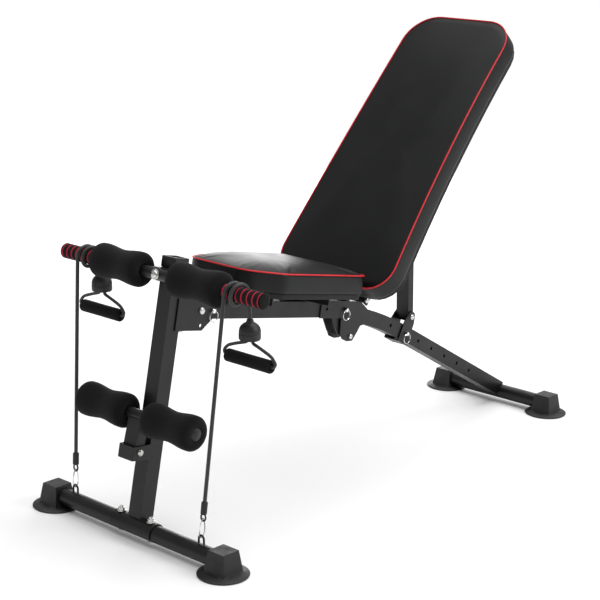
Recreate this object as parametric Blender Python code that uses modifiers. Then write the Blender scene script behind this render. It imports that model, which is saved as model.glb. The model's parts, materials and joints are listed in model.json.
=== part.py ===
"""Decline sit up bench with foot rollers, resistance bands and an adjustable backrest.

Metres, +Z up, +Y towards the rear of the bench, +X its right-hand side as seen from the rear.
The bench stands on Z = 0, and the origin is below the middle of its footprint.
"""
import math

import bmesh
import bpy
from mathutils import Matrix, Vector

# Frame of the bench, in a side view (Y, Z), with Y measured from the front stabiliser's axis.
TUBE = 0.038
WALL = 0.002
LEAN = math.radians(10.4)
FRONT_PIVOT = (0.171, 0.4785)
WHEELBASE = 1.343
STABILISER_RADIUS = 0.019
STABILISER_Z = 0.027
FRONT_FEET_X = 0.262
REAR_FEET_X = 0.166
GAP = 0.0003
PLATE = 0.003
FOOT_RADIUS = 0.0555
SOCKET_SHIFT = 0.031
SOCKET_LENGTH = 0.070
# The origin lies midway between the front edge of the front feet and the rear edge of the rear feet.
MIDDLE_Y = 0.6715

# The beam frame: a runs rearwards along the seat beam, b upwards across it, from the front pivot.
UPRIGHT_A = -0.0774
UPRIGHT_BOTTOM_B = -0.470
UPRIGHT_TOP_B = 0.106
BEAM_START_A = -0.050
BEAM_END_A = 0.505
FRONT_PIN_A = 0.033
FRONT_FOLD = math.radians(85.0)
FOLD_BOLT = (0.5237, -0.0654)
FOLD_PIN_A = 0.490
SLEEVE_START_A = 0.400
SLEEVE_END_A = 0.545
LEG_START = (0.508, -0.0091)
LEG_START_SLOPE = math.radians(6.0)
LEG_SLOPE = math.radians(18.65)
LEG_BEND_RADIUS = 1.078
HOLE_B = (0.7464, -0.0618)
HOLE_STEP = 0.0663
HOLE_RADIUS = 0.0045

# Leg rollers and the upper cross tube.
UPPER_AXIS = (-0.1180, 0.0732)
LOWER_AXIS = (-0.1212, -0.2290)
ARM_HINGE = (-0.1270, -0.3040)
CROSS_RADIUS = 0.0127
UPPER_TUBE_HALF = 0.294
LOWER_TUBE_HALF = 0.170
UPPER_ROLLERS = (0.047, 0.190)
LOWER_ROLLERS = (0.031, 0.172)
ROLLER_RADIUS = 0.038
ROLLER_WAIST = 0.0315
GRIP_RADIUS = 0.0170
GRIP_INNER = 0.1912
GRIP_OUTER = 0.302

# Seat and backrest.
SEAT_FRONT_A = 0.050
SEAT_REAR_A = 0.414
SEAT_BOTTOM_B = 0.044
SEAT_TOP_B = 0.101
SEAT_HALF = 0.131
SEAT_FRONT_HALF = 0.086
BOARD = 0.012
BACK_HINGE = (0.6688, 0.4206)
BACK_ANGLE = math.radians(49.5)
BACK_FRONT_N = 0.0865
BACK_THICK = 0.050
BACK_LOW_S = -0.006
BACK_HIGH_S = 0.772
# The backrest's half-width and its bow out of the flat, as a + b t + c t2 with t from -1 at the bottom to 1.
BACK_HALF = (0.160, -0.0115, 0.0065)
BACK_BOW = (0.0, -0.0045, -0.0115)
BACK_LOW_CORNER = 0.070
BACK_HIGH_CORNER = 0.082
RAIL_X = 0.080
RAIL = 0.020
HINGE_TUBE_RADIUS = 0.008
ARM_TOP = (0.345, -0.008)
# The strut's upper bolt floats in this window of the backrest's clevis plates.
ARM_WINDOW = (0.0400, 0.0315)
ARM_WINDOW_MIDDLE = (0.3435, -0.01125)
ARM_DEPTH = 0.020
SLIDER_PIVOT_RISE = 0.0448
# The slider clears the leg by this much below, so that it can pass on to the bend.
SLIDER_CLEARANCE = 0.0042

# Resistance bands.
BAND_RADIUS = 0.0042
EYE_X = 0.198
# For each band: the eye, where it meets the grip, where it drops, and its handle's height.
BANDS = {"right": (EYE_X, 0.210, 0.241, 0.432), "left": (-EYE_X, -0.236, -0.207, 0.449)}

bench = bpy.data.collections.new("decline_sit_up_bench")
cutters = bpy.data.collections.new("cutters")


def clear_scene():
    for item in list(bpy.data.objects):
        bpy.data.objects.remove(item, do_unlink=True)
    for group in (bench, cutters):
        bpy.context.scene.collection.children.link(group)


def make_material(name, colour, roughness, metallic=0.0):
    material = bpy.data.materials.new(name)
    material.use_nodes = True
    shader = material.node_tree.nodes["Principled BSDF"]
    shader.inputs["Base Color"].default_value = (*colour, 1.0)
    shader.inputs["Roughness"].default_value = roughness
    shader.inputs["Metallic"].default_value = metallic
    return material


def side(y, z, x=0.0):
    """World place of a point in the side view, where y counts from the front stabiliser."""
    return Vector((x, y - MIDDLE_Y, z))


def beam(a, b, x=0.0):
    """World place of a point in the beam frame."""
    y = FRONT_PIVOT[0] + a * math.cos(LEAN) + b * math.sin(LEAN)
    z = FRONT_PIVOT[1] - a * math.sin(LEAN) + b * math.cos(LEAN)
    return side(y, z, x)


def along_leg(distance, rise=0.0, x=0.0):
    """Place at a distance behind hole B on the leg's straight run, raised square to it."""
    a = HOLE_B[0] + distance * math.cos(LEG_SLOPE) + rise * math.sin(LEG_SLOPE)
    b = HOLE_B[1] - distance * math.sin(LEG_SLOPE) + rise * math.cos(LEG_SLOPE)
    return beam(a, b, x)


def back(s, n, x=0.0):
    """World place of a point on the backrest: s up along it, n out of its front face."""
    y = BACK_HINGE[0] + s * math.cos(BACK_ANGLE) - n * math.sin(BACK_ANGLE)
    z = BACK_HINGE[1] + s * math.sin(BACK_ANGLE) + n * math.cos(BACK_ANGLE)
    return side(y, z, x)


def axis_empty(name, place, tilt=0.0):
    empty = bpy.data.objects.new(name, None)
    empty.empty_display_size = 0.04
    empty.location = place
    empty.rotation_euler = (tilt, 0.0, 0.0)
    bench.objects.link(empty)
    return empty


def hang(item, empty):
    """Parent an item to an axis empty without moving it."""
    item.parent = empty
    frame = Matrix.LocRotScale(empty.location, empty.rotation_euler, None)
    item.matrix_parent_inverse = frame.inverted()
    return item


def finish(name, mesh, material, place, rotation=(0.0, 0.0, 0.0), smooth=False):
    item = bpy.data.objects.new(name, mesh)
    item.location = place
    item.rotation_euler = rotation
    if material is None:
        cutters.objects.link(item)
        item.hide_render = True
        item.display_type = "WIRE"
        return item
    mesh.materials.clear()
    mesh.materials.append(material)
    bench.objects.link(item)
    if smooth:
        mesh.shade_smooth()
        mesh.set_sharp_from_angle(angle=math.radians(35.0))
    return item


def box(name, size, place, material=None, tilt=0.0, bevel=0.0):
    shape = bmesh.new()
    bmesh.ops.create_cube(shape, size=1.0)
    bmesh.ops.scale(shape, vec=Vector(size), verts=shape.verts)
    mesh = bpy.data.meshes.new(name)
    shape.to_mesh(mesh)
    shape.free()
    item = finish(name, mesh, material, place, (tilt, 0.0, 0.0))
    if bevel > 0.0:
        edge = item.modifiers.new("rounded edges", "BEVEL")
        edge.width = bevel
        edge.segments = 2
    return item


AXIS_TURNS = {
    "X": (0.0, math.radians(90.0), 0.0),
    "-X": (0.0, math.radians(-90.0), 0.0),
    "Y": (math.radians(-90.0), 0.0, 0.0),
    "-Y": (math.radians(90.0), 0.0, 0.0),
    "Z": (0.0, 0.0, 0.0),
}


def cylinder(name, radius, length, place, axis="X", material=None, sides=16, tilt=0.0):
    shape = bmesh.new()
    bmesh.ops.create_cone(
        shape, cap_ends=True, segments=sides, radius1=radius, radius2=radius, depth=length
    )
    turn = Matrix.Rotation(AXIS_TURNS[axis][1], 4, "Y") @ Matrix.Rotation(AXIS_TURNS[axis][0], 4, "X")
    bmesh.ops.transform(shape, matrix=turn, verts=shape.verts)
    mesh = bpy.data.meshes.new(name)
    shape.to_mesh(mesh)
    shape.free()
    return finish(name, mesh, material, place, (tilt, 0.0, 0.0), smooth=True)


def turned(name, profile, place, axis="X", material=None, sides=20, tilt=0.0, ring=False):
    """A solid of revolution from (radius, height) points that run down its outer side."""
    shape = bmesh.new()
    corners = [shape.verts.new((radius, 0.0, height)) for radius, height in profile]
    ends = corners[1:] + corners[:1] if ring else corners[1:]
    for first, second in zip(corners, ends):
        shape.edges.new((first, second))
    mesh = bpy.data.meshes.new(name)
    shape.to_mesh(mesh)
    shape.free()
    item = finish(name, mesh, material, place, AXIS_TURNS[axis])
    if tilt:
        item.rotation_euler = (Matrix.Rotation(tilt, 3, "X") @ item.rotation_euler.to_matrix()).to_euler()
    spin = item.modifiers.new("turned", "SCREW")
    spin.axis = "Z"
    spin.steps = sides
    spin.render_steps = sides
    spin.use_merge_vertices = True
    spin.merge_threshold = 0.00005
    spin.use_smooth_shade = True
    return item


def plate(name, outline, thickness, x, material=None, tilt=0.0, place=None):
    """A flat outline in the side view, given as (y, z) points, thick along X."""
    curve = bpy.data.curves.new(name, "CURVE")
    curve.dimensions = "2D"
    curve.fill_mode = "BOTH"
    curve.extrude = thickness / 2.0
    spline = curve.splines.new("POLY")
    spline.points.add(len(outline) - 1)
    spline.use_cyclic_u = True
    for point, (across, up) in zip(spline.points, outline):
        point.co = (across, up, 0.0, 1.0)
    stand = Matrix.Rotation(tilt, 3, "X") @ Matrix(((0, 0, 1), (1, 0, 0), (0, 1, 0)))
    spot = (place or Vector((0.0, 0.0, 0.0))) + Vector((x, 0.0, 0.0))
    return curve_to_mesh(name, curve, material, spot, stand.to_euler())


def wire(name, points, radius, place, material, resolution=2, closed=False):
    curve = bpy.data.curves.new(name, "CURVE")
    curve.dimensions = "3D"
    curve.bevel_depth = radius
    curve.bevel_resolution = resolution
    curve.use_fill_caps = not closed
    spline = curve.splines.new("POLY")
    spline.points.add(len(points) - 1)
    spline.use_cyclic_u = closed
    for point, spot in zip(spline.points, points):
        point.co = (*spot, 1.0)
    return curve_to_mesh(name, curve, material, place, (0.0, 0.0, 0.0), smooth=True)


def curve_to_mesh(name, curve, material, place, rotation, smooth=False):
    """Turn a curve into a welded mesh object, so that it can be cut or joined."""
    guide = bpy.data.objects.new(name + "_curve", curve)
    guide.location = place
    guide.rotation_euler = rotation
    cutters.objects.link(guide)
    bpy.context.view_layer.update()
    view = guide.evaluated_get(bpy.context.evaluated_depsgraph_get())
    mesh = bpy.data.meshes.new_from_object(view)
    weld = bmesh.new()
    weld.from_mesh(mesh)
    bmesh.ops.remove_doubles(weld, verts=weld.verts, dist=0.00002)
    bmesh.ops.recalc_face_normals(weld, faces=weld.faces)
    weld.to_mesh(mesh)
    weld.free()
    bpy.data.objects.remove(guide, do_unlink=True)
    return finish(name, mesh, material, place, rotation, smooth)


def combine(item, tools, operation):
    for tool in tools:
        change = item.modifiers.new(operation.lower() + " " + tool.name, "BOOLEAN")
        change.operation = operation
        change.solver = "EXACT"
        change.object = tool
    return item


def cut(item, *tools):
    return combine(item, tools, "DIFFERENCE")


def join(item, *tools):
    return combine(item, tools, "UNION")


def smooth_route(points, steps):
    """Points on a Catmull-Rom curve through the given ones, steps to each stretch."""
    ends = [2 * points[0] - points[1], *points, 2 * points[-1] - points[-2]]
    route = []
    for before, start, stop, after in zip(ends, ends[1:], ends[2:], ends[3:]):
        for index in range(steps):
            t = index / steps
            route.append(
                0.5
                * (
                    2 * start
                    + (stop - before) * t
                    + (2 * before - 5 * start + 4 * stop - after) * t * t
                    + (3 * start - before - 3 * stop + after) * t * t * t
                )
            )
    route.append(points[-1])
    return route


def bolt(name, head, shank, length, place, material, axis="X", tilt=0.0, nut=True):
    """A dome-headed bolt; its shank crosses length, and a nut closes the far side."""
    top = length / 2.0
    profile = [
        (0.0, top + 0.0055),
        (head * 0.6, top + 0.0050),
        (head * 0.92, top + 0.0030),
        (head, top + GAP),
        (shank, top + GAP),
        (shank, -top - GAP),
    ]
    if nut:
        profile += [(head * 0.86, -top - GAP), (head * 0.86, -top - 0.006), (shank, -top - 0.0065)]
        profile += [(shank, -top - 0.010), (0.0, -top - 0.010)]
    else:
        profile += [(0.0, -top - GAP)]
    return turned(name, profile, place, axis, material, 12, tilt)


def hollow_tube(name, size, place, material, tilt, long_axis):
    """A square tube, open at both ends."""
    tube = box(name, size, place, material, tilt)
    inner = [side_length - 2.0 * WALL for side_length in size]
    inner[long_axis] = size[long_axis] + 0.01
    return cut(tube, box(name + "_bore", inner, place, None, tilt))


def front_stabiliser(steel):
    tube = cylinder(
        "front_stabilizer", STABILISER_RADIUS, 0.520, side(0.0, STABILISER_Z), "X", steel, 28
    )
    holes = [
        cylinder(f"saddle_hole_{index}", 0.0046, 0.08, side(0.0, STABILISER_Z, x), "Z", None, 12)
        for index, x in enumerate((-0.046, 0.046))
    ]
    bore = cylinder(
        "front_stabilizer_bore", STABILISER_RADIUS - WALL, 0.530, side(0.0, STABILISER_Z), "X", None, 28
    )
    return cut(tube, bore, *holes)


def saddle(steel):
    inner = STABILISER_RADIUS + GAP
    outer = inner + PLATE
    arc = [math.radians(angle) for angle in range(-20, 181, 20)]
    outline = [(-outer * math.cos(angle), outer * math.sin(angle)) for angle in arc]
    outline += [(-inner * math.cos(angle), inner * math.sin(angle)) for angle in reversed(arc)]
    shell = plate("front_saddle", outline, 0.126, 0.0, steel, 0.0, side(0.0, STABILISER_Z))
    holes = [
        cylinder(f"saddle_plate_hole_{index}", 0.0046, 0.04, side(0.0, 0.050, x), "Z", None, 12)
        for index, x in enumerate((-0.046, 0.046))
    ]
    return cut(shell, *holes)


def saddle_bolt(name, through, place, material):
    """A carriage bolt up through the stabiliser and its saddle, with the nut on top."""
    top = through / 2.0
    low = STABILISER_RADIUS
    profile = [
        (0.0, top + 0.0130),
        (0.0040, top + 0.0130),
        (0.0040, top + 0.0085),
        (0.0072, top + 0.0080),
        (0.0072, top + 0.0022),
        (0.0095, top + 0.0020),
        (0.0095, top + GAP),
        (0.0040, top + GAP),
        (0.0040, -low - GAP),
        (0.0070, -low - GAP),
        (0.0070, -low - 0.0030),
        (0.0, -low - 0.0035),
    ]
    return turned(name, profile, place, "Z", material, 12)


def foot(name, x, y, material, inward):
    """A tapered cap over the stabiliser's end, moulded in one with its round disc."""
    disc = turned(
        name,
        [
            (0.0, 0.0085),
            (0.034, 0.0085),
            (0.050, 0.0055),
            (FOOT_RADIUS, 0.003),
            (FOOT_RADIUS - 0.001, 0.0),
            (0.0, 0.0),
        ],
        side(y, 0.0, x),
        "Z",
        material,
        32,
    )
    shape = bmesh.new()
    bmesh.ops.create_cone(
        shape, cap_ends=True, segments=4, radius1=0.041, radius2=0.0315, depth=0.046
    )
    quarter = Matrix.Rotation(math.radians(45.0), 3, "Z")
    bmesh.ops.rotate(shape, cent=(0, 0, 0), matrix=quarter, verts=shape.verts)
    mesh = bpy.data.meshes.new(name + "_cap")
    shape.to_mesh(mesh)
    shape.free()
    cap = finish(name + "_cap", mesh, None, side(y, 0.030, x))
    socket_place = side(y, STABILISER_Z, x + inward * SOCKET_SHIFT)
    socket = cylinder(name + "_socket", STABILISER_RADIUS + GAP, SOCKET_LENGTH, socket_place, "X", None, 28)
    return cut(join(disc, cap), socket)


def eye_loop(name, x, material):
    """A bent rod welded upright on the stabiliser, for the band's snap hook."""
    base = STABILISER_Z + STABILISER_RADIUS + 0.0006
    points = [Vector((-0.0075, 0.0, 0.0)), Vector((-0.0075, 0.0, 0.010))]
    for index in range(1, 8):
        angle = math.pi * index / 8.0
        points.append(Vector((-0.0075 * math.cos(angle), 0.0, 0.010 + 0.0090 * math.sin(angle))))
    points += [Vector((0.0075, 0.0, 0.010)), Vector((0.0075, 0.0, 0.0))]
    return wire(name, points, 0.0025, side(0.0, base, x), material)


def upright(steel, plastic):
    length = UPRIGHT_TOP_B - UPRIGHT_BOTTOM_B
    middle = (UPRIGHT_TOP_B + UPRIGHT_BOTTOM_B) / 2.0
    tube = hollow_tube(
        "upright_tube", (TUBE, TUBE, length), beam(UPRIGHT_A, middle), steel, -LEAN, 2
    )
    cope = cylinder(
        "upright_cope", STABILISER_RADIUS + PLATE + 2.0 * GAP, 0.08, side(0.0, STABILISER_Z), "X", None, 28
    )
    under = box("upright_under", (0.08, 0.12, 0.06), side(0.05, 0.004), None)
    bolt_hole = cylinder(
        "upright_bolt_hole", 0.0052, 0.06, beam(UPRIGHT_A - 0.01, UPPER_AXIS[1]), "Y", None, 12, -LEAN
    )
    cut(tube, cope, under, bolt_hole)
    cap_size = (TUBE + 0.004, TUBE + 0.004, 0.024)
    cap_place = beam(UPRIGHT_A, UPRIGHT_TOP_B - 0.006)
    cap = box("upright_cap", cap_size, cap_place, plastic, -LEAN, 0.002)
    seat = box(
        "upright_cap_socket",
        (TUBE + 2 * GAP, TUBE + 2 * GAP, 0.030),
        beam(UPRIGHT_A, UPRIGHT_TOP_B - 0.015 + GAP),
        None,
        -LEAN,
    )
    dish_place = beam(UPRIGHT_A, UPRIGHT_TOP_B + 0.0062)
    dish = box("upright_cap_dish", (0.030, 0.030, 0.006), dish_place, None, -LEAN)
    return [tube, cut(cap, seat, dish)]


def gusset(steel, chrome):
    """The bracket behind the upright that carries the seat beam's pivot."""
    rear_face = UPRIGHT_A + TUBE / 2.0
    outline = [
        (rear_face - 0.014, 0.040),
        (0.020, 0.030),
        (0.042, 0.012),
        (0.046, -0.010),
        (0.008, -0.044),
        (rear_face - 0.014, -0.044),
    ]
    inner = TUBE / 2.0 + GAP
    place = side(*FRONT_PIVOT)
    bracket = plate("gusset_bracket", outline, 2.0 * (inner + PLATE), 0.0, steel, -LEAN, place)
    web_end = rear_face + 0.0345
    reach = 0.12
    slot = box("gusset_slot", (2.0 * inner, reach, 0.16), beam(web_end + reach / 2.0, 0.0), None, -LEAN)
    upper = box(
        "gusset_upright_slot",
        (2.0 * inner, TUBE + 2.0 * GAP, 0.16),
        beam(UPRIGHT_A, 0.0),
        None,
        -LEAN,
    )
    middle = box("gusset_inside", (2.0 * inner, 0.070, 0.16), beam(rear_face + 0.012, 0.041), None, -LEAN)
    spare = (FRONT_PIN_A * math.cos(FRONT_FOLD), -FRONT_PIN_A * math.sin(FRONT_FOLD))
    holes = [
        cylinder("front_pivot_hole", 0.0045, 0.06, beam(0.0, 0.0), "X", None, 12, -LEAN),
        cylinder("front_pin_hole", 0.0043, 0.06, beam(FRONT_PIN_A, 0.0), "X", None, 12, -LEAN),
        cylinder("front_fold_hole", 0.0040, 0.06, beam(*spare), "X", None, 12, -LEAN),
        cylinder("stop_bolt_hole", 0.0046, 0.03, beam(-0.040, -0.044), "Z", None, 12, -LEAN),
    ]
    cut(bracket, slot, upper, middle, *holes)
    pivot = bolt("front_pivot_bolt", 0.0085, 0.004, 2.0 * (inner + PLATE), beam(0.0, 0.0), chrome, "X", -LEAN)
    stop = turned(
        "stop_bolt",
        [
            (0.0, 0.0195),
            (0.004, 0.0195),
            (0.004, -0.0043),
            (0.0085, -0.0043),
            (0.0095, -0.0060),
            (0.0095, -0.0100),
            (0.0, -0.0100),
        ],
        beam(-0.040, -0.040),
        "Z",
        chrome,
        12,
        -LEAN,
    )
    return [bracket, pivot, stop]


def ring_pin(name, place, outside, material, tilt):
    """A short lock pin with a pull ring hanging from its head, on the bench's right side."""
    pin = turned(
        name,
        [
            (0.0, 0.0080),
            (0.0045, 0.0076),
            (0.0055, 0.0050),
            (0.0055, GAP),
            (0.0034, GAP),
            (0.0034, -PLATE),
            (0.0, -PLATE),
        ],
        place + Vector((outside, 0.0, 0.0)),
        "X",
        material,
        12,
        tilt,
    )
    turns = [2.0 * math.pi * index / 18.0 for index in range(18)]
    points = [Vector((0.0, 0.0125 * math.sin(turn), 0.0125 * math.cos(turn) - 0.0125)) for turn in turns]
    ring = wire(name + "_ring", points, 0.0011, place + Vector((outside + 0.0048, 0.0, 0.0)), None, 1, True)
    return join(pin, ring)


def roller(name, middle_x, length, place, foam):
    """A foam roller, waisted between its two round shoulders, bored for its tube."""
    half = length / 2.0
    bore = CROSS_RADIUS + 0.0006
    profile = [(bore, half), (ROLLER_RADIUS - 0.013, half)]
    profile += [(ROLLER_RADIUS - 0.004, half - 0.004), (ROLLER_RADIUS, half - 0.016)]
    for index in range(1, 6):
        height = (half - 0.016) * (1.0 - index / 3.0)
        waist = math.cos(math.pi / 2.0 * height / (half - 0.016)) ** 2
        profile.append((ROLLER_RADIUS - (ROLLER_RADIUS - ROLLER_WAIST) * waist, height))
    profile += [(ROLLER_RADIUS, 0.016 - half), (ROLLER_RADIUS - 0.004, 0.004 - half)]
    profile += [(ROLLER_RADIUS - 0.013, -half), (bore, -half)]
    return turned(name, profile, place + Vector((middle_x, 0.0, 0.0)), "X", foam, 20, 0.0, True)


def upper_rollers(steel, chrome, foam, grip_foam):
    place = beam(*UPPER_AXIS)
    front = UPPER_AXIS[0] - CROSS_RADIUS
    upright_front = UPRIGHT_A - TUBE / 2.0
    tube = cylinder("upper_cross_tube", CROSS_RADIUS, 2.0 * UPPER_TUBE_HALF, place, "X", steel, 20)
    bolt_hole = cylinder("cross_tube_hole", 0.0052, 0.06, place, "Y", None, 12, -LEAN)
    bore = cylinder("upper_cross_bore", CROSS_RADIUS - 0.0015, 2.1 * UPPER_TUBE_HALF, place, "X", None, 20)
    cut(tube, bore, bolt_hole)
    depth = upright_front - UPPER_AXIS[0]
    cradle = box(
        "cross_tube_bracket",
        (0.044, depth - GAP, 0.028),
        beam(upright_front - GAP - (depth - GAP) / 2.0, UPPER_AXIS[1]),
        steel,
        -LEAN,
    )
    hollow = cylinder("cradle_hollow", CROSS_RADIUS + GAP, 0.06, place, "X", None, 20)
    cut(cradle, hollow, bolt_hole)
    shank = 0.0048
    reach = upright_front + WALL + GAP - front
    bolt_profile = [
        (0.0, 0.0090),
        (0.0060, 0.0078),
        (0.0092, 0.0045),
        (0.0092, 0.0022),
        (0.0118, 0.0020),
        (0.0118, 0.0006),
        (shank, 0.0006),
        (shank, -reach),
        (0.0080, -reach),
        (0.0080, -reach - 0.006),
        (0.0, -reach - 0.006),
    ]
    dome = turned("cross_tube_bolt", bolt_profile, beam(front, UPPER_AXIS[1]), "-Y", chrome, 16, -LEAN)
    pieces = [tube, cradle, dome]
    middle_x = sum(UPPER_ROLLERS) / 2.0
    length = UPPER_ROLLERS[1] - UPPER_ROLLERS[0]
    for label, sign in (("left", -1.0), ("right", 1.0)):
        pieces.append(roller("upper_roller_" + label, sign * middle_x, length, place, foam))
        bore = CROSS_RADIUS + GAP
        inner = GRIP_INNER - GRIP_OUTER
        blind = UPPER_TUBE_HALF + GAP - GRIP_OUTER
        sleeve = [
            (0.0, 0.0),
            (GRIP_RADIUS - 0.004, 0.0),
            (GRIP_RADIUS, -0.004),
            (GRIP_RADIUS, inner),
            (bore, inner),
            (bore, blind),
            (0.0, blind),
        ]
        spot = place + Vector((sign * GRIP_OUTER, 0.0, 0.0))
        pieces.append(turned("grip_" + label, sleeve, spot, "X" if sign > 0 else "-X", grip_foam, 20))
    return pieces


def lower_rollers(steel, chrome, foam):
    """The hinged arm on the upright's front with the lower pair of rollers."""
    upright_front = UPRIGHT_A - TUBE / 2.0
    inner = TUBE / 2.0 + GAP
    web_front = ARM_HINGE[0] - 0.0200
    outline = [
        (upright_front - GAP, ARM_HINGE[1] + 0.016),
        (web_front, ARM_HINGE[1] + 0.012),
        (web_front, ARM_HINGE[1] - 0.018),
        (upright_front - GAP, ARM_HINGE[1] - 0.018),
    ]
    bracket = plate("arm_bracket", outline, 2.0 * (inner + PLATE), 0.0, steel, -LEAN, side(*FRONT_PIVOT))
    depth = upright_front - web_front
    slot_middle = web_front + PLATE + depth / 2.0
    slot = box("arm_bracket_slot", (2.0 * inner, depth, 0.06), beam(slot_middle, ARM_HINGE[1]), None, -LEAN)
    hole = cylinder("arm_bracket_hole", 0.0045, 0.06, beam(*ARM_HINGE), "X", None, 12, -LEAN)
    cut(bracket, slot, hole)
    across = 2.0 * (inner + PLATE)
    hinge = bolt("arm_bracket_bolt", 0.008, 0.004, across, beam(*ARM_HINGE), chrome, "X", -LEAN)
    rise = LOWER_AXIS[1] - ARM_HINGE[1]
    lean = math.atan2(LOWER_AXIS[0] - ARM_HINGE[0], rise)
    arm_tilt = -LEAN - lean
    below_hinge = 0.014
    arm_length = rise + below_hinge - 0.006
    along = (arm_length / 2.0 - below_hinge) / rise
    middle = beam(*ARM_HINGE).lerp(beam(*LOWER_AXIS), along)
    arm = box("roller_arm", (TUBE, 0.025, arm_length), middle, steel, arm_tilt)
    inside = box("roller_arm_bore", (TUBE - 2 * WALL, 0.021, arm_length + 0.01), middle, None, arm_tilt)
    cope = cylinder("roller_arm_cope", CROSS_RADIUS + GAP, 0.06, beam(*LOWER_AXIS), "X", None, 20)
    cut(arm, inside, hole, cope)
    axis = beam(*LOWER_AXIS)
    tube = cylinder("lower_cross_tube", CROSS_RADIUS, 2.0 * LOWER_TUBE_HALF, axis, "X", steel, 20)
    plug = 0.003
    room = 2.0 * (LOWER_TUBE_HALF - plug)
    bore = cylinder("lower_cross_bore", CROSS_RADIUS - 0.0015, room, axis, "X", None, 20)
    below = beam(LOWER_AXIS[0], LOWER_AXIS[1] - 0.015)
    drain = cylinder("lower_cross_drain", 0.002, 0.03, below, "Z", None, 8)
    cut(tube, bore, drain)
    middle_x = sum(LOWER_ROLLERS) / 2.0
    length = LOWER_ROLLERS[1] - LOWER_ROLLERS[0]
    swinging = [arm, tube]
    for label, sign in (("left", -1.0), ("right", 1.0)):
        swinging.append(roller("lower_roller_" + label, sign * middle_x, length, beam(*LOWER_AXIS), foam))
    return [bracket, hinge], swinging


def snap_hook(name, place, turn, chrome):
    """A closed spring hook, narrow at the band's end and wide round the eye."""
    points = []
    for index in range(16):
        angle = 2.0 * math.pi * index / 16.0
        half_width = 0.0070 - 0.0025 * math.cos(angle)
        points.append(Vector((0.0, half_width * math.sin(angle), 0.021 + 0.021 * math.cos(angle))))
    hook = wire(name, points, 0.0015, place, chrome, 1, True)
    hook.rotation_euler = turn
    return hook


def ferrule(name, place, turn, rubber):
    """The crimped end of a band: a sleeve with a small loop for the hook."""
    sleeve = turned(
        name,
        [
            (0.0, 0.0400),
            (0.0060, 0.0400),
            (0.0070, 0.0385),
            (0.0070, 0.0145),
            (0.0060, 0.0130),
            (0.0, 0.0130),
        ],
        place,
        "Z",
        rubber,
        12,
    )
    turns = [2.0 * math.pi * index / 14.0 for index in range(14)]
    points = [Vector((0.0065 * math.sin(angle), 0.0, 0.0065 + 0.0080 * math.cos(angle))) for angle in turns]
    loop = wire(name + "_loop", points, 0.0020, place, None, 1, True)
    sleeve.rotation_euler = turn
    loop.rotation_euler = turn
    return join(sleeve, loop)


def resistance_band(label, places, chrome, rubber, band, foam):
    """A band from the stabiliser's eye up round the grip, with its handle hanging behind."""
    eye_x, front_x, drop_x, handle_z = places
    eye = side(0.0, STABILISER_Z + STABILISER_RADIUS + 0.0148, eye_x)
    grip = beam(*UPPER_AXIS)
    wrap = GRIP_RADIUS + BAND_RADIUS + 0.0006
    lift_off = Vector((front_x, grip.y - wrap, grip.z))
    up = (lift_off - eye).normalized()
    across = Vector((0.0, 1.0, 0.0)).cross(up).normalized()
    turn = Matrix((across, up.cross(across), up)).transposed().to_euler()
    hook = snap_hook("carabiner_" + label, eye, turn, chrome)
    crimp_place = eye + up * 0.0378
    crimp = ferrule("ferrule_" + label, crimp_place, turn, rubber)
    start = crimp_place + up * (0.0400 + GAP)
    route = [start.lerp(lift_off, index / 20.0) for index in range(20)]
    turns = 1.5
    for index in range(19):
        angle = math.pi - 2.0 * math.pi * turns * index / 18.0
        place_x = front_x + (drop_x - 0.004 - front_x) * index / 18.0
        route.append(Vector((place_x, grip.y + wrap * math.cos(angle), grip.z + wrap * math.sin(angle))))
    stopper_top = handle_z + 0.088
    drop_y = grip.y + wrap
    for index in range(1, 4):
        height = grip.z + (stopper_top + 0.0010 - grip.z) * index / 3.0
        route.append(Vector((drop_x - 0.004 + 0.004 * index / 3.0, drop_y, height)))
    cord = wire("band_" + label, route, BAND_RADIUS, Vector((0.0, 0.0, 0.0)), band)
    stopper = turned(
        "band_stopper_" + label,
        [
            (0.0, 0.0430),
            (0.0070, 0.0430),
            (0.0085, 0.0360),
            (0.0150, 0.0330),
            (0.0210, 0.0250),
            (0.0228, 0.0150),
            (0.0228, 0.0020),
            (0.0215, 0.0),
            (0.0, 0.0),
        ],
        Vector((drop_x, drop_y, stopper_top - 0.043)),
        "Z",
        rubber,
        18,
    )
    handle_place = Vector((drop_x, drop_y, handle_z))
    handle = turned(
        "handle_grip_" + label,
        [
            (0.0080, 0.0610),
            (0.0125, 0.0610),
            (0.0138, 0.0590),
            (0.0138, -0.0590),
            (0.0125, -0.0610),
            (0.0080, -0.0610),
        ],
        handle_place,
        "X",
        foam,
        18,
        0.0,
        True,
    )
    half = [
        Vector((0.0085, 0.0, 0.0432)),
        Vector((0.0100, 0.0, 0.0385)),
        Vector((0.0220, 0.0, 0.0345)),
        Vector((0.0420, 0.0, 0.0280)),
        Vector((0.0610, 0.0, 0.0200)),
        Vector((0.0710, 0.0, 0.0075)),
        Vector((0.0640, 0.0, 0.0)),
        Vector((0.0500, 0.0, 0.0)),
    ]
    left_half = [Vector((-point.x, 0.0, point.z)) for point in half]
    strap = wire(
        "handle_cord_" + label,
        smooth_route(left_half + half[::-1], 3),
        0.0035,
        handle_place,
        band,
    )
    return [hook, crimp, cord, stopper, strap], handle


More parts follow.
